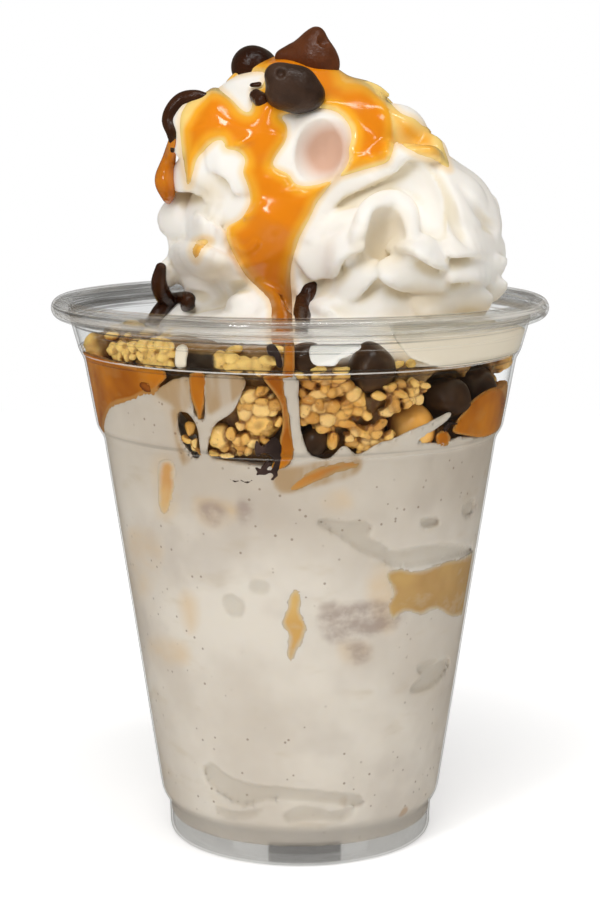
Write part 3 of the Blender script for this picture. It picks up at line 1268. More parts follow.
def makeGranola():
    rng = np.random.default_rng(21)
    finish = granolaFinish()
    heap, front = heapShape(rng), frontShape(rng)
    for (shape, grains), name in ((heap, "granola_heap"), (front, "granola_front")):
        piece = shape.mesh(name)
        dropScraps(piece, 60)
        found = pointsOf(piece)
        slope = shape.slope(found, 0.6)
        near, far = (shape.sample(found + slope * reach) / reach for reach in (0.9, 2.2))
        addAttribute(piece, "crease", np.clip(np.maximum(1.1 - near, (0.85 - far) * 1.5), 0.0, 1.0))
        deep = (wallAt(found[:, 2]) - np.hypot(found[:, 0], found[:, 1]) - 2.2) / 1.6
        addAttribute(piece, "deep", np.clip(deep, 0.0, 1.0) * (found[:, 2] < 104.0))
        tone, seam = grainMarks(found, grains, rng)
        addAttribute(piece, "tone", tone)
        addAttribute(piece, "seam", seam)
        addAttribute(piece, "gap", shareWithin(piece, granola["gaps"], 0.6))
        swayPoints(piece, ((5.0, 0.12, 6), (2.2, 0.1, 6), (1.2, 0.05, 8)), rng)
        dress(piece, finish, "granola")
    return heap[0], finish


# loose crisp grains, each one rounded lump set on a point
def makeLooseGrains(heap, finish):
    rng = np.random.default_rng(8)
    points, turns, sizes = [], [], []
    while len(points) < granola["loose"]:
        turn, far = rng.uniform(0.0, 360.0), rng.uniform(26.0, 41.0)
        x, y = math.sin(math.radians(turn)) * far, -math.cos(math.radians(turn)) * far
        heights = np.arange(106.0, 84.0, -0.25)
        places = np.stack([np.full(len(heights), x), np.full(len(heights), y), heights], axis=1)
        found = heap.sample(places) < 0.0
        height = heights[found.argmax()] if found.any() else 0.0
        size = rng.uniform(0.8, 1.3)
        if not found.any() or far > wallAt(height) - 2.4 or height > 102.2:
            continue
        points.append((x * mm, y * mm, (height + size * 0.35) * mm))
        turns.append((rng.uniform(-0.5, 0.5), rng.uniform(-0.5, 0.5), rng.uniform(0.0, 6.28)))
        sizes.append((size * rng.uniform(1.4, 2.2), size, size * 0.8))
    data = bpy.data.meshes.new("grain_places")
    data.from_pydata(points, [], [])
    for name, values in (("turn", turns), ("size", sizes)):
        data.attributes.new(name, "FLOAT_VECTOR", "POINT").data.foreach_set("vector", np.ravel(values))
    piece = addObject("granola_loose_grains", data)
    tree = bpy.data.node_groups.new("loose grains", "GeometryNodeTree")
    tree.interface.new_socket("Places", in_out="INPUT", socket_type="NodeSocketGeometry")
    width = tree.interface.new_socket("Grain Size", in_out="INPUT", socket_type="NodeSocketFloat")
    tree.interface.new_socket("Grains", in_out="OUTPUT", socket_type="NodeSocketGeometry")
    nodes, links = tree.nodes, tree.links
    start, end = nodes.new("NodeGroupInput"), nodes.new("NodeGroupOutput")
    ball = nodes.new("GeometryNodeMeshUVSphere")
    ball.inputs["Segments"].default_value, ball.inputs["Rings"].default_value = 8, 5
    put = nodes.new("GeometryNodeInstanceOnPoints")
    turn, size = nodes.new("GeometryNodeInputNamedAttribute"), nodes.new("GeometryNodeInputNamedAttribute")
    turn.data_type = size.data_type = "FLOAT_VECTOR"
    turn.inputs["Name"].default_value, size.inputs["Name"].default_value = "turn", "size"
    angles = nodes.new("FunctionNodeEulerToRotation")
    real, paint = nodes.new("GeometryNodeRealizeInstances"), nodes.new("GeometryNodeSetMaterial")
    smooth = nodes.new("GeometryNodeSetShadeSmooth")
    paint.inputs["Material"].default_value = finish
    for source, socket, target, place in (
            (start, "Places", put, "Points"), (start, "Grain Size", ball, "Radius"),
            (ball, "Mesh", put, "Instance"),
            (turn, "Attribute", angles, "Euler"), (angles, "Rotation", put, "Rotation"),
            (size, "Attribute", put, "Scale"), (put, "Instances", real, "Geometry"),
            (real, "Geometry", smooth, "Geometry"), (smooth, "Geometry", paint, "Geometry"),
            (paint, "Geometry", end, "Grains")):
        links.new(source.outputs[socket], target.inputs[place])
    modifier = piece.modifiers.new("loose grains", "NODES")
    modifier.node_group = tree
    modifier[width.identifier] = 1.0 * mm
    depsgraph = bpy.context.evaluated_depsgraph_get()
    made = bpy.data.meshes.new_from_object(piece.evaluated_get(depsgraph), depsgraph=depsgraph)
    piece.modifiers.clear()
    piece.data = made
    addAttribute(piece, "tone", np.full(len(made.vertices), 0.6))
    dress(piece, finish, "granola")


# dark crumbs and their smear on the glass
def makeDarkCrumbs():
    middle = onGlass(262, 460)[0]
    volume = Volume(middle - [10.0, 8.0, 9.0], middle + [40.0, 16.0, 25.0], 0.24)
    for outline in granola["darkCrumbs"]:
        wallLayer(volume, outline, 1.4, 0.2)
    for stations in granola["darkStrokes"]:
        spots = [onGlass(u, v, 0.2) for u, v, _ in stations]
        rows = [np.concatenate([point, out, [w]]) for (point, out), (_, _, w) in zip(spots, stations)]
        path = smoothPath(np.array(rows), 5)
        volume.band(path[:, :3], path[:, 3:6], path[:, 6], np.full(len(path), 0.5), 0.1)
    trimToCup(volume, 0.22)
    tones = tonesOf(candies)
    finish = coatingFinish("dark crumbs", tones["crumb"], tones["crumbSheen"], 0.3)
    dress(volume.mesh("dark_crumbs"), finish, "granola")


makeLooseGrains(*makeGranola())
print("granola made")


# smooth shells: scales of the cloudy and the fine noise, fine bump and its depth, spread of roughness, coat
shells = {
    "candy": (140, 900, 0.15, 0.0003, 0.18, 0.1),
    "chocolate": (120, 1300, 0.45, 0.0004, 0.15, 0.08),
}


def shellFinish(kind, name, low, high, wrinkle, rough):
    cloudyScale, fineScale, grain, grainDepth, spreading, coat = shells[kind]
    finish = Finish(name)
    at = finish.place()
    cloudy = finish.noise(cloudyScale, 3.0, 0.6, at)
    fine = finish.noise(fineScale, 3.0, 0.6, at)
    colour = finish.blend(finish.rise(cloudy, 0.35, 0.7), low, high)
    normal = finish.bump(fine, grain, grainDepth, finish.bump(cloudy, wrinkle, 0.0008))
    return finish.done(finish.principled({
        "Base Color": colour, "Roughness": rough + cloudy * spreading, "Normal": normal, "Coat Weight": coat,
        "Coat Roughness": 0.08, "Specular IOR Level": 0.35}))


def coatingFinish(name, low, high, wrinkle):
    return shellFinish("candy", name, low, high, wrinkle, 0.24)


def chocolateFinish(name, low, high, rough):
    return shellFinish("chocolate", name, low, high, 0.2, rough)


# a ball that is a little uneven
def ball(name, centre, radius, rng):
    rings, around = candies["rings"], candies["rings"] * 2
    points, faces = [(0.0, 0.0, 1.0)], []
    for i in range(1, rings):
        a = math.pi * i / rings
        turns = [2 * math.pi * k / around for k in range(around)]
        points += [(math.sin(a) * math.cos(b), math.sin(a) * math.sin(b), math.cos(a)) for b in turns]
    points.append((0.0, 0.0, -1.0))
    for k in range(around):
        m = (k + 1) % around
        faces.append((0, 1 + k, 1 + m))
        for i in range(rings - 2):
            a, b = 1 + i * around, 1 + (i + 1) * around
            faces.append((a + k, b + k, b + m, a + m))
        last = 1 + (rings - 2) * around
        faces.append((last + k, len(points) - 1, last + m))
    points = np.array(points)
    for number, strength in ((1.6, 0.03), (3.4, 0.015)):
        for _ in range(4):
            way = rng.normal(size=3) * number
            points = points * (1.0 + strength * np.sin(points @ way + rng.uniform(0.0, 6.28)))[:, None]
    return makeMesh(name, points * radius + centre, faces)


def makeCandies():
    rng = np.random.default_rng(3)
    tones = tonesOf(candies)
    dark = coatingFinish("dark candy coating", tones["dark"], tones["darkSheen"], 0.12)
    pale = coatingFinish("caramel candy coating", tones["pale"], tones["paleSheen"], 0.1)
    placed = [(name, node, onGlass(*place, radius + back)[0], radius, isDark)
              for name, node, place, radius, back, isDark in candies["balls"]]
    placed += [(name, node, onWall(angle, height, radius + back)[0], radius, isDark)
               for name, node, angle, height, radius, back, isDark in candies["unseen"]]
    for name, node, centre, radius, isDark in placed:
        piece = ball(name, centre, radius, rng)
        dress(piece, dark if isDark else pale, node)


makeCandies()
makeDarkCrumbs()
print("candies made")


# Whipped cream. Places are in the picture's pixels and sizes in millimetres.
cream = {
    "step": 0.58,
    "box": ((-38, -44, 88), (47, 40, 160)),
    "bottom": 98.2,
    # rows of folds round the unseen side: height and half width of each, first and last azimuth
    "rows": ((106, 5), (115, 4.8), (124.5, 4.6), (133.5, 4.2), (141.5, 3.6)),
    "rowStart": 98,
    "rowEnd": 268,
    "rowRadius": 26,
    # middle, half widths, how softly it joins
    "bodies": (
        ((0, 3, 123), (21.5, 20, 24), 0),
        ((-7.5, 0, 137.5), (15.6, 15, 13.6), 3),
        ((8, 1, 137), (14.4, 15.5, 13.2), 3),
        ((20, -5, 126), (15.6, 14, 12), 3),
        ((30, -5, 124), (9.4, 11, 9.5), 2),
        ((-3, 2, 146), (11, 10, 7.6), 3),
        ((19, -6, 116.5), (17, 17.5, 14), 2),
        ((6, -3, 100.5), (32, 32, 8.5), 3),
        ((26, -8, 98.5), (17, 26, 7.5), 2)),
    # lobe and scoop: place, half width, half height, half depth, out, roll, softness.
    # fold and groove: stations of (across, down, half width), flatness, tilt, lift, softness.
    "shapes": (
        ("lobe", (402, 128), 5, 6.4, 5, -1, -30, 1.5),
        ("lobe", (424, 150), 3.4, 4.2, 4.2, -1.4, -30, 1.2),
        ("lobe", (190, 128), 3.6, 7, 5, -1.6, 10, 1.5),
        ("fold", ((424, 164, 4), (444, 186, 7), (462, 212, 7.6), (474, 238, 4.6)), 0.4, -14, -0.8, 0.5),
        ("groove", ((318, 232, 2.6), (330, 208, 4.2), (356, 190, 5.2), (390, 186, 5.8), (414, 202, 5.4),
         (426, 232, 4)), 0.62, 0, 0.8, 0.6),
        ("fold", ((305, 238, 1.8), (314, 210, 2.8), (336, 186, 3.6), (366, 169, 4.6), (398, 157, 5.2),
         (426, 160, 5)), 0.3, -28, 0.6, 0.3),
        ("fold", ((300, 262, 4), (320, 248, 6.4), (346, 238, 7.2), (374, 236, 4.6)), 0.28, -27, 1, 0.3),
        ("fold", ((352, 258, 1.6), (362, 234, 2), (374, 216, 2.2), (390, 208, 2.3), (403, 215, 2.3),
         (409, 236, 2.2), (412, 258, 1.8)), 1.1, 0, 0.3, 0.4),
        ("scoop", (388, 240), 3.6, 5.8, 5, 0.4, 0, 0.5),
        ("fold", ((300, 286, 2.4), (326, 283, 3.8), (356, 279, 3.8), (384, 270, 2.6)), 0.34, -25, 0.6, 0.3),
        ("fold", ((400, 246, 2.6), (420, 246, 4.2), (442, 258, 3.2)), 0.32, -28, 0.6, 0.3),
        ("fold", ((386, 272, 2.4), (412, 270, 4), (442, 280, 3.2)), 0.34, -25, 0.5, 0.3),
        ("scoop", (486, 232), 5, 2.6, 2.4, 1.2, -10, 0.5),
        ("fold", ((446, 252, 2.4), (470, 241, 3.6), (496, 250, 3.2)), 0.32, -30, 0.6, 0.3),
        ("fold", ((442, 276, 2.4), (466, 266, 3.8), (494, 266, 3.2)), 0.32, -28, 0.5, 0.3),
        ("fold", ((450, 294, 2.6), (474, 287, 3.4), (494, 290, 3)), 0.36, -25, 0.4, 0.4),
        ("fold", ((316, 308, 4.2), (350, 302, 5.6), (390, 303, 5.2), (418, 312, 3.6)), 0.42, -20, 0.6, 0.4),
        ("fold", ((418, 306, 3.8), (446, 300, 4.6), (474, 304, 3.8)), 0.42, -20, 0.4, 0.4),
        ("fold", ((212, 160, 2.6), (226, 158, 3.6), (240, 170, 3), (246, 190, 2)), 0.4, -20, 0.6, 0.3),
        ("fold", ((178, 176, 3.2), (194, 168, 4.8), (212, 178, 4.4), (222, 196, 3)), 0.34, -26, 0.5, 0.3),
        ("fold", ((222, 204, 1.2), (218, 222, 1.6), (222, 242, 1.6), (234, 258, 1.2)), 1.2, 0, 0.4, 0.4),
        ("fold", ((176, 218, 3), (190, 208, 4.6), (206, 212, 4.4), (216, 226, 3)), 0.4, -14, 0, 0.4),
        ("fold", ((180, 246, 2.6), (192, 238, 4.2), (208, 236, 4.6), (226, 250, 3.2)), 0.34, -27, 0.3, 0.3),
        ("lobe", (206, 290), 8.4, 7.6, 5.2, -1.2, 0, 0.6),
        ("fold", ((168, 276, 3), (186, 262, 4.2), (210, 260, 4.6), (234, 272, 4), (254, 292, 3.2),
         (268, 314, 2.6)), 0.55, 14, 0, 0.6),
        ("lobe", (244, 308), 5.6, 4.4, 4.4, -1.2, 0, 0.8),
        ("groove", ((428, 164, 0.8), (443, 190, 1.5), (457, 226, 1.4), (470, 248, 0.8)), 0.9, 0, 0.5, 0.5),
        ("groove", ((458, 188, 0.7), (474, 204, 1.3), (490, 224, 0.9)), 0.9, 0, 0.5, 0.5),
        ("groove", ((188, 290, 0.8), (206, 298, 1.4), (226, 314, 1)), 0.9, 0, 0.5, 0.5),
        ("groove", ((328, 298, 0.8), (352, 310, 1.3), (378, 318, 1)), 0.9, 0, 0.5, 0.5),
        ("groove", ((316, 236, 0.7), (338, 230, 1.2), (358, 224, 0.8)), 0.9, 0, 0.5, 0.5),
        ("groove", ((182, 184, 0.7), (196, 190, 1.2), (210, 194, 0.8)), 0.9, 0, 0.5, 0.5),
        ("lobe", (318, 150), 7.2, 8.4, 4, -1.8, 0, 1.2),
        ("scoop", (322, 150), 5.6, 6.4, 6, 1, -12, 0.5)),
    "window": ((302, 150), (310, 134), (322, 126), (338, 126), (348, 140), (348, 158), (336, 174),
        (318, 176), (306, 166)),
    # where it is yellower
    "shades": (
        ((354, 258), (364, 232), (380, 214), (398, 212), (405, 226), (406, 250), (396, 264), (370, 266)),
        ((190, 196), (198, 184), (212, 180), (220, 190), (214, 204), (198, 206)),
        ((404, 296), (420, 288), (440, 294), (436, 308), (412, 312)),
        ((170, 338), (194, 338), (194, 374), (170, 374)),
        ((380, 318), (524, 312), (520, 352), (508, 378), (480, 372), (440, 372), (400, 360)),
        ((210, 262), (226, 258), (232, 272), (216, 280), (202, 274))),
    # against the glass at the right
    "smears": (
        ((392, 334), (404, 352), (410, 358), (424, 363), (436, 368), (452, 368), (468, 363), (480, 363),
         (478, 371), (490, 378), (506, 376), (516, 352), (520, 325), (400, 320)),
        ((310, 346), (336, 346), (337, 364), (326, 366), (312, 364)),
        ((338, 346), (362, 345), (352, 354), (340, 358)),
        ((175, 352), (177, 346), (184, 344), (188, 350), (186, 360), (185, 368), (175, 368))),
    "sway": ((26, 0.7, 5), (9, 0.2, 6)),
    "colours": {"low": (243, 238, 230), "high": (250, 247, 241), "crease": (228, 214, 182),
        "stain": (248, 212, 150), "shade": (222, 204, 168), "blush": (210, 166, 140)},
}


def makeCreamVolume():
    rng = np.random.default_rng(5)
    volume = Volume(*cream["box"], cream["step"])
    for centre, radii, soft in cream["bodies"]:
        volume.egg(centre, radii, soft)
    for kind, *settings in cream["shapes"]:
        if kind in ("lobe", "scoop"):
            lobe(volume, *settings, carve=kind == "scoop")
        else:
            fold(volume, *settings, carve=kind == "groove")
    for row, (height, wide) in enumerate(cream["rows"]):
        azimuth = cream["rowStart"] + 11.0 * (row % 2)
        while azimuth < cream["rowEnd"]:
            drop, long = rng.uniform(-1.0, 1.0), rng.uniform(3.5, 5.5)
            stations = ((-long, height + 2.6 + drop, wide * 0.5), (-0.5, height + drop, wide),
                        (long, height - 3.0 + drop, wide * 0.45))
            fold(volume, stations, 0.55, rng.uniform(-30.0, -10.0), 0.3, 0.8, azimuth)
            azimuth += 360.0 * 0.5 * (long + 5.2) / (math.pi * cream["rowRadius"]) * 1.1
    volume.sway(cream["sway"], rng)
    for outline in cream["smears"]:
        wallLayer(volume, outline, 3.0, 1.0)
    volume.values = smoothMax(volume.values, cream["bottom"] - volume.axes()[2], 0.6).astype(np.float32)
    trimToCup(volume, 0.14)
    return volume


creamVolume = makeCreamVolume()


# Caramel sauce over the cream: outlines in the picture, places left bare, and its way over unseen sides.
sauce = {
    "step": 0.45,
    "box": ((-36, -44, 96), (36, 34, 160)),
    # thickness of each outline's sauce
    "thick": (1.35, 0.55, 0.5),
    "outlines": (
        ((387, 97), (394, 117), (394, 140), (389, 160), (376, 166), (362, 170), (340, 177), (330, 185),
         (322, 195), (315, 205), (310, 217), (300, 235), (294, 252), (290, 272), (291, 297), (292, 325),
         (292, 345), (272, 345), (271, 324), (270, 302), (260, 290), (245, 275), (235, 257), (227, 240),
         (227, 227), (235, 222), (242, 217), (250, 202), (247, 185), (242, 172), (245, 160), (237, 151),
         (225, 149), (222, 140), (212, 142), (204, 150), (196, 160), (191, 180), (187, 187), (184, 172),
         (181, 150), (179, 130), (180, 115), (187, 102), (200, 92), (210, 82), (222, 72), (250, 56),
         (270, 46), (335, 46), (354, 64), (378, 78)),
        ((375, 82), (392, 104), (402, 113), (415, 118), (424, 126), (437, 128), (445, 150), (450, 170),
         (435, 161), (415, 154), (397, 141), (388, 120)),
        ((190, 250), (197, 240), (210, 240), (202, 250), (196, 261))),
    "bare": (
        ((215, 82), (225, 76), (260, 71), (265, 77), (260, 87), (252, 90), (252, 102), (249, 112),
         (242, 110), (232, 100), (220, 90)),
        ((280, 117), (290, 113), (312, 108), (335, 111), (348, 124), (351, 137), (348, 150), (349, 160),
         (341, 173), (325, 182), (305, 186), (294, 183), (289, 175), (279, 170), (272, 165), (276, 155),
         (283, 145), (287, 135), (286, 124))),
    # thin ridges that catch the light
    "ridges": (
        ((197, 132, 0.6), (208, 128, 0.7), (222, 130, 0.5)),
        ((236, 148, 0.5), (250, 140, 0.8), (268, 136, 0.7), (280, 138, 0.5)),
        ((246, 217, 0.5), (256, 214, 0.7), (262, 203, 0.6)),
        ((240, 246, 0.5), (250, 249, 0.7), (258, 241, 0.5)),
        ((248, 259, 0.4), (256, 262, 0.6), (264, 258, 0.4)),
        ((271, 180, 0.5), (276, 190, 0.7), (288, 194, 0.6), (298, 190, 0.4)),
        ((365, 88, 0.5), (374, 93, 0.8), (384, 100, 0.6)),
        ((350, 163, 0.5), (358, 160, 0.7), (364, 161, 0.5))),
    # where it is thin and pale
    "pale": (
        ((330, 46), (352, 60), (380, 76), (394, 100), (380, 104), (362, 92), (336, 84)),
        ((180, 116), (200, 92), (222, 72), (250, 58), (252, 70), (226, 84), (204, 104), (190, 122))),
    "crown": ((0, 4, 149), (15, 13, 9)),
    # sides that the photo does not show: azimuth, then stations of (across, height, half width)
    "streams": (
        (150, ((0, 148, 4), (1, 138, 3.4), (-1, 126, 2.8), (0, 112, 2.2), (0.6, 104, 1.8))),
        (205, ((0, 148, 4.4), (-1.5, 138, 3), (0, 128, 2.2), (0.5, 121, 1.6))),
        (105, ((0, 146, 3.6), (1, 136, 2.4), (0.5, 130, 1.8))),
        (255, ((0, 144, 3.4), (0.6, 134, 2.6), (0, 122, 2.2), (0.4, 114, 1.8)))),
    "colours": {"edge": (252, 216, 132), "thin": (248, 172, 40), "deep": (236, 136, 12),
        "low": (164, 84, 10)},
}


# distance of points from the edge of the sauce, below zero within it, and the sauce's thickness there;
# away is how far the surface faces from the camera
def sauceDistance(points, away):
    found = np.full(len(points), 9.0)
    front = away < 0.12
    u, v = pictured(*points[front].T)
    edge = np.full(len(u), 9.0)
    thick = np.full(len(u), sauce["thick"][0])
    for outline, most in zip(sauce["outlines"], sauce["thick"]):
        other = outlineDistance(outline, u, v)
        thick = np.where(other < np.minimum(edge, 0.0), most, thick)
        edge = np.minimum(edge, other)
    for outline in sauce["bare"]:
        edge = np.maximum(edge, -outlineDistance(outline, u, v))
    found[front] = edge
    full = np.full(len(points), sauce["thick"][0])
    full[front] = thick
    return found, full


def sauceFinish():
    tones = tonesOf(sauce)
    finish = Finish("caramel sauce")
    at = finish.place()
    cloudy = finish.noise(75.0, 3.0, 0.55, at)
    depth = finish.attribute("inner") + (cloudy - 0.5) * 0.75
    colour = finish.blend(finish.rise(depth, 0.0, 0.34), tones["edge"], tones["thin"])
    colour = finish.blend(finish.rise(depth, 0.3, 0.95), colour, tones["deep"])
    colour = finish.blend(finish.rise(finish.length("Z", at), 124.0, 106.0) * 0.85, colour, tones["low"])
    return finish.done(finish.principled({
        "Base Color": colour, "Roughness": 0.12 + cloudy * 0.06, "Normal": finish.bump(cloudy, 0.25, 0.0016),
        "Subsurface Weight": 0.1, "Subsurface Radius": (0.003, 0.0018, 0.0004), "Subsurface Scale": 1.0,
        "Coat Weight": 0.3, "Coat Roughness": 0.04}))


def makeSauce():
    volume = creamVolume.resampled(*sauce["box"], sauce["step"])
    base = volume.values
    near = np.abs(base) < 2.4
    points = np.stack([axis[near] for axis in np.broadcast_arrays(*volume.axes())], axis=1)
    away = (np.gradient(base, axis=1) / sauce["step"])[near]
    reach = Volume(*sauce["box"], sauce["step"])
    reach.egg(*sauce["crown"])
    for azimuth, stations in sauce["streams"]:
        path, faces, widths = foldPath(creamVolume, stations, azimuth=azimuth)
        reach.band(path, faces, widths, np.full(len(path), 4.0), 0.6)
    unseen = np.where(away > -0.1, reach.values[near], 9.0)
    edge, full = sauceDistance(points, away)
    edge = np.minimum(edge, unseen)
    x, z = points[:, 0], points[:, 2]
    ripple = np.sin(x * 0.55 + np.sin(z * 0.4) * 1.4) * np.sin(z * 0.5 + 1.0)
    thick = np.where(edge < 0.0, full * (1.0 - np.exp(edge / 1.0)) * (1.0 + 0.22 * ripple), -edge * 0.9)
    volume.values = np.abs(base)
    volume.values[near] = smoothMax(base[near] - thick, -base[near] - 1.1, 0.3)
    volume.values = volume.blurred()
    for stations in sauce["ridges"]:
        path, faces, widths = foldPath(creamVolume, stations, lift=1.15)
        volume.band(path, faces, widths, widths * 0.7, 0.5)
    piece = volume.mesh("caramel_sauce")
    found = pointsOf(piece)
    slope = creamVolume.slope(found, 1.2)[:, 1]
    edge, full = sauceDistance(found, slope)
    edge = np.minimum(edge, np.where(slope > -0.1, reach.sample(found), 9.0))
    pale = shareWithin(piece, sauce["pale"], 3.0)
    inner = np.clip(-edge / 3.2, 0.0, 1.0) * np.where(full < 1.0, 0.3, 1.0) * (1.0 - 0.75 * pale)
    addAttribute(piece, "inner", inner)
    dress(piece, sauceFinish(), "whipped_cream")


def creamFinish():
    tones = tonesOf(cream)
    finish = Finish("whipped cream")
    at = finish.place()
    cloudy = finish.noise(60.0, 3.0, 0.5, at)
    fine = finish.noise(700.0, 2.0, 0.5, at)
    stain = finish.rise(finish.attribute("stain") + (cloudy - 0.5) * 0.8, 0.3, 1.0)
    colour = finish.blend(finish.rise(cloudy, 0.3, 0.7), tones["low"], tones["high"])
    colour = finish.layers(colour, tones, (
        (finish.rise(finish.attribute("crease"), 0.2, 0.8) * 0.7, "crease"), (stain * 0.6, "stain"),
        (finish.attribute("shade") * 0.6, "shade"), (finish.attribute("blush") * 0.9, "blush")))
    normal = finish.bump(fine, 0.06, 0.0003, finish.bump(finish.noise(150.0, 2.0, 0.5, at), 0.2, 0.0008))
    return finish.done(finish.principled({
        "Base Color": colour, "Roughness": 0.5, "Normal": normal, "Subsurface Weight": 0.12,
        "Subsurface Radius": (0.0016, 0.0013, 0.0009), "Subsurface Scale": 1.0, "Specular IOR Level": 0.2}))


def makeCream():
    piece = creamVolume.mesh("whipped_cream_swirl")
    dropScraps(piece, 60)
    found = pointsOf(piece)
    slope = creamVolume.slope(found, 1.2)
    edge, _ = sauceDistance(found, slope[:, 1])
    stain = np.clip(1.0 - edge / 1.6, 0.0, 1.0) * 0.65 + np.clip(1.0 - edge / 6.0, 0.0, 1.0) * 0.35
    addAttribute(piece, "stain", stain)
    addAttribute(piece, "crease", np.clip(1.0 - creamVolume.sample(found + slope * 2.2) / 2.2, 0.0, 1.0))
    addAttribute(piece, "blush", shareWithin(piece, [cream["window"]], 3.0))
    addAttribute(piece, "shade", shareWithin(piece, cream["shades"], 4.0))
    dress(piece, creamFinish(), "whipped_cream")


makeCream()
print("cream made")
makeSauce()
print("sauce made")


# Chocolate: drops of a few rounded lumps, and drizzle along the cream.
chocolate = {
    # name, node, step, softness, lumps and pits of (across, down, depth y in millimetres, radius)
    "drops": (
        ("chocolate_drop_top", "choc_drop_top", 0.24, 1.2, ((316, 35, -1, 1.6), (313, 44, -1, 2.6),
         (312, 54, -1, 3.9), (318, 62, -1.6, 4), (300, 57, -0.6, 3), (290, 56, -0.6, 2),
         (281, 57, -0.6, 1.3), (326, 66, -2.4, 2.2)), ((324, 40, -4, 1.3),)),
        ("chocolate_drop_front", "choc_drop_front", 0.24, 1.2, ((297, 92, -13, 4.1), (310, 95, -13.4, 2.8),
         (281, 93, -13.2, 3.1), (277, 76, -13.8, 2.5), (288, 82, -13.6, 3.4), (300, 83, -13, 3)),
         ((280, 73, -16.4, 0.8),)),
        ("chocolate_drop_back", "choc_drop_back", 0.24, 1.2, ((252, 67, 3, 4.2), (260, 67, 5, 3.4)), ())),
    # the unseen drop: its block of space, and lumps with their radius
    "rearBox": ((-3, 2, 141), (14, 20, 158)),
    "rear": (((5.6, 9.5, 148.8), 4.2), ((7, 13.4, 149.6), 2.6)),
    "rearSoft": 2,
    # drizzle: name, stations of (across, down, half width), flatness, lift
    "drizzleStep": 0.28,
    "drizzles": (
        ("chocolate_drip_left", ((205, 99, 1), (195, 98, 1.4), (183, 101, 1.6), (174, 110, 1.6),
         (170, 121, 1.5), (172, 132, 1.1), (173, 142, 0.7), (173, 150, 0.5)), 1, 0.2),
        ("chocolate_squiggle", ((161, 268, 1.1), (159, 282, 1.6), (163, 294, 1.8), (171, 302, 1.7),
         (181, 299, 1.3), (190, 300, 1.7), (186, 307, 1.2)), 0.9, 0.3),
        ("chocolate_squiggle_tail", ((168, 303, 1.6), (160, 313, 1.7), (152, 324, 1.4)), 0.9, 0.3),
        ("chocolate_drip_front", ((314, 283, 0.8), (309, 289, 1.6), (304, 298, 2), (302, 314, 1.8),
         (301, 334, 1.3)), 0.5, 0),
        ("chocolate_chip_small", ((256, 99, 1.3), (262, 104, 1.6)), 0.9, 0.9),
        ("chocolate_flake", ((252, 89, 0.5), (260, 88, 0.6)), 0.8, 0.9)),
    "caramelDrip": ((173, 132, 0.6), (172, 143, 1), (170, 155, 1.6), (167, 168, 2.2), (165, 180, 2.7),
        (167, 190, 2.3), (169, 199, 1.2)),
    "colours": {"milk": (76, 38, 16), "milkSheen": (106, 58, 30), "glossy": (36, 14, 4),
        "glossySheen": (56, 26, 10), "dark": (42, 27, 18), "darkSheen": (68, 48, 36),
        "drizzle": (40, 19, 9), "drizzleSheen": (66, 36, 18), "drip": (166, 84, 8),
        "dripSheen": (214, 130, 26)},
}


# the place at a depth that shows at a place in the picture
def spot(u, v, y):
    way = sight(u, v)
    return eye + way * ((y - eye[1]) / way[1])


def makeDrops():
    tones = tonesOf(chocolate)
    milk = chocolateFinish("milk chocolate", tones["milk"], tones["milkSheen"], 0.22)
    glossy = chocolateFinish("glossy chocolate", tones["glossy"], tones["glossySheen"], 0.1)
    dark = chocolateFinish("dark chocolate", tones["dark"], tones["darkSheen"], 0.26)
    finishes = {"front": dark, "back": glossy}
    for name, node, step, soft, lumps, pits in chocolate["drops"]:
        centres = np.array([spot(u, v, y) for u, v, y, _ in lumps])
        volume = Volume(centres.min(axis=0) - 7.0, centres.max(axis=0) + 7.0, step)
        for centre, (_, _, _, radius) in zip(centres, lumps):
            volume.egg(centre, (radius,) * 3, soft)
        for u, v, y, radius in pits:
            volume.egg(spot(u, v, y), (radius,) * 3, 0.4, carve=True)
        piece = volume.mesh(name)
        dropScraps(piece)
        dress(piece, finishes.get(name.split("_")[-1], milk), node)
    volume = Volume(*chocolate["rearBox"], chocolate["drops"][0][2])
    for centre, radius in chocolate["rear"]:
        volume.egg(centre, (radius,) * 3, chocolate["rearSoft"])
    dress(volume.mesh("chocolate_drop_rear"), milk, "choc_drop_rear")


# a bead of chocolate or caramel that lies on the cream
def drizzle(name, stations, flat, lift, least):
    path, faces, widths = foldPath(creamVolume, stations, 0.0, lift)
    volume = Volume(path.min(axis=0) - 4.0, path.max(axis=0) + 4.0, chocolate["drizzleStep"])
    volume.band(path, faces, widths, np.maximum(widths * flat, least), 0.3)
    return volume.mesh(name)


def makeDrizzles():
    tones = tonesOf(chocolate)
    finish = chocolateFinish("chocolate drizzle", tones["drizzle"], tones["drizzleSheen"], 0.12)
    for name, stations, flat, lift in chocolate["drizzles"]:
        dress(drizzle(name, stations, flat, lift, 0.4), finish, "whipped_cream")
    piece = drizzle("caramel_drip_left", chocolate["caramelDrip"], 0.75, 0.1, 0.0)
    finish = caramelFinish("caramel drip", tones["drip"], tones["dripSheen"], coat=0.5)
    dress(piece, finish, "whipped_cream")


makeDrops()
makeDrizzles()
print("chocolate made")


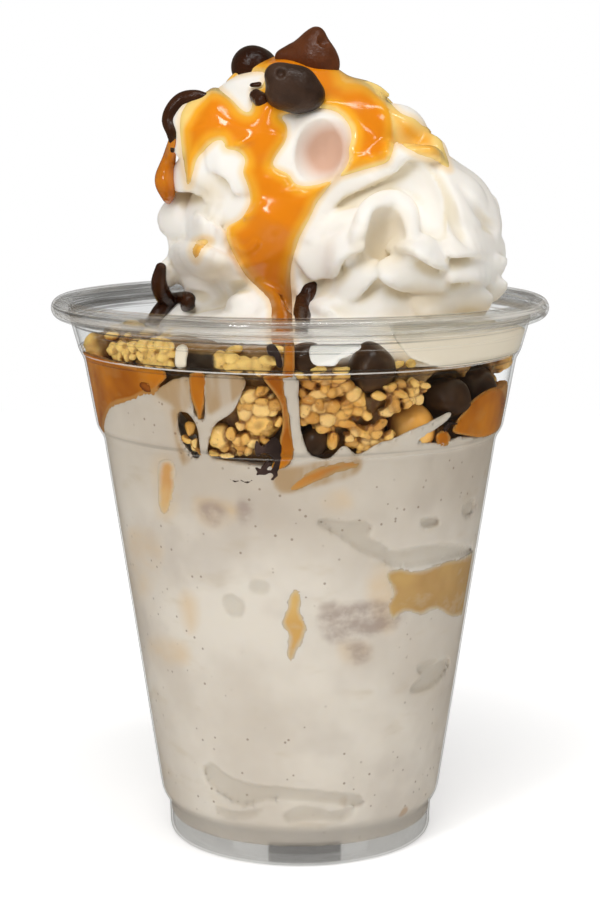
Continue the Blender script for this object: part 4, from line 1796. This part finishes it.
# Floor, light and camera. Places and sizes are in metres here.
studio = {
    "floor": 0.62,
    "floorSides": 96,
    "glow": 0.7,
    # what lights the food, what shows in gloss, and what the camera sees: colour and strength
    "backdrop": ((1, 0.985, 0.96), 0.11),
    "shine": ((1, 0.88, 0.72), 0.16),
    "behind": ((1, 1, 1), 1),
    # name, place, aim, size, energy, colour, whether it shows in gloss
    "lights": (
        ("key", (-0.1, -0.55, 0.72), (0, 0, 0.1), (0.4, 0.4), 2.5, (1, 0.985, 0.955), False),
        ("left", (-0.62, -0.45, 0.36), (0, 0, 0.09), (0.4, 0.6), 0.75, (1, 0.98, 0.95), False),
        ("right", (0.62, -0.45, 0.3), (0, 0, 0.09), (0.4, 0.6), 0.5, (1, 0.99, 0.97), False),
        ("top", (0, 0.25, 0.8), (0, 0, 0.12), (0.6, 0.5), 1.1, (1, 0.99, 0.97), False),
        ("gleamLeft", (-0.3, -0.55, 0.5), (0, 0, 0.12), (0.1, 0.16), 0.75, (1, 1, 1), True),
        ("gleamRight", (0.36, -0.5, 0.56), (0, 0, 0.12), (0.09, 0.12), 0.2, (1, 1, 1), True),
        ("gleamTop", (0.1, -0.25, 0.75), (0, 0, 0.12), (0.6, 0.07), 1.2, (1, 1, 1), True)),
}


def areaLight(name, place, aim, size, energy, colour, gloss):
    data = bpy.data.lights.new(name, "AREA")
    data.shape, data.size, data.size_y = "RECTANGLE", size[0], size[1]
    data.energy, data.color = energy, colour
    light = addObject(name, data)
    light.location = place
    light.rotation_euler = (Vector(aim) - Vector(place)).to_track_quat("-Z", "Y").to_euler()
    light.visible_glossy = gloss


def makeFloor():
    angles = np.arange(studio["floorSides"]) * 2.0 * math.pi / studio["floorSides"]
    ring = [(studio["floor"] / mm * math.cos(a), studio["floor"] / mm * math.sin(a), 0.0) for a in angles]
    floor = makeMesh("floor", ring, [tuple(range(studio["floorSides"]))])
    finish = Finish("pale floor")
    far = finish.node("ShaderNodeVectorMath", {"operation": "LENGTH"}, {0: finish.place()}, output="Value")
    shade = finish.blend(finish.rise(far, 0.03, 0.2), (0.585, 0.585, 0.593), (1.0, 1.0, 1.0))
    floor.data.materials.append(finish.done(finish.principled(
        {"Base Color": (0.93, 0.93, 0.93, 1.0), "Roughness": 0.7, "Specular IOR Level": 0.1,
         "Emission Color": shade, "Emission Strength": studio["glow"]})))
    floor.visible_glossy = False


def makeStudio():
    makeFloor()
    world = bpy.data.worlds.new("studio")
    bpy.context.scene.world = world
    world.use_nodes = True
    nodes, links = world.node_tree.nodes, world.node_tree.links
    nodes.clear()
    path, end = nodes.new("ShaderNodeLightPath"), nodes.new("ShaderNodeOutputWorld")
    grounds = []
    for part in ("backdrop", "shine", "behind"):
        colour, strength = studio[part]
        ground = nodes.new("ShaderNodeBackground")
        ground.inputs["Color"].default_value = (*colour, 1.0)
        ground.inputs["Strength"].default_value = strength
        grounds.append(ground.outputs[0])
    mixed = grounds[0]
    for ray, ground in zip(("Is Glossy Ray", "Is Camera Ray"), grounds[1:]):
        mix = nodes.new("ShaderNodeMixShader")
        for source, target in ((path.outputs[ray], 0), (mixed, 1), (ground, 2)):
            links.new(source, mix.inputs[target])
        mixed = mix.outputs[0]
    links.new(mixed, end.inputs["Surface"])
    for settings in studio["lights"]:
        areaLight(*settings)


def makeCamera():
    data = bpy.data.cameras.new("camera")
    data.lens, data.sensor_width, data.clip_start = camera["lens"], camera["sensor"], 10.0 * mm
    made = addObject("camera", data)
    made.location = eye * mm
    made.rotation_euler = (math.radians(90.0 - camera["tilt"]), 0.0, 0.0)
    bpy.context.scene.camera = made


makeStudio()
makeCamera()
bpy.context.scene.view_settings.view_transform = "Standard"
bpy.context.scene.cycles.transparent_max_bounces = 24
print("scene ready")
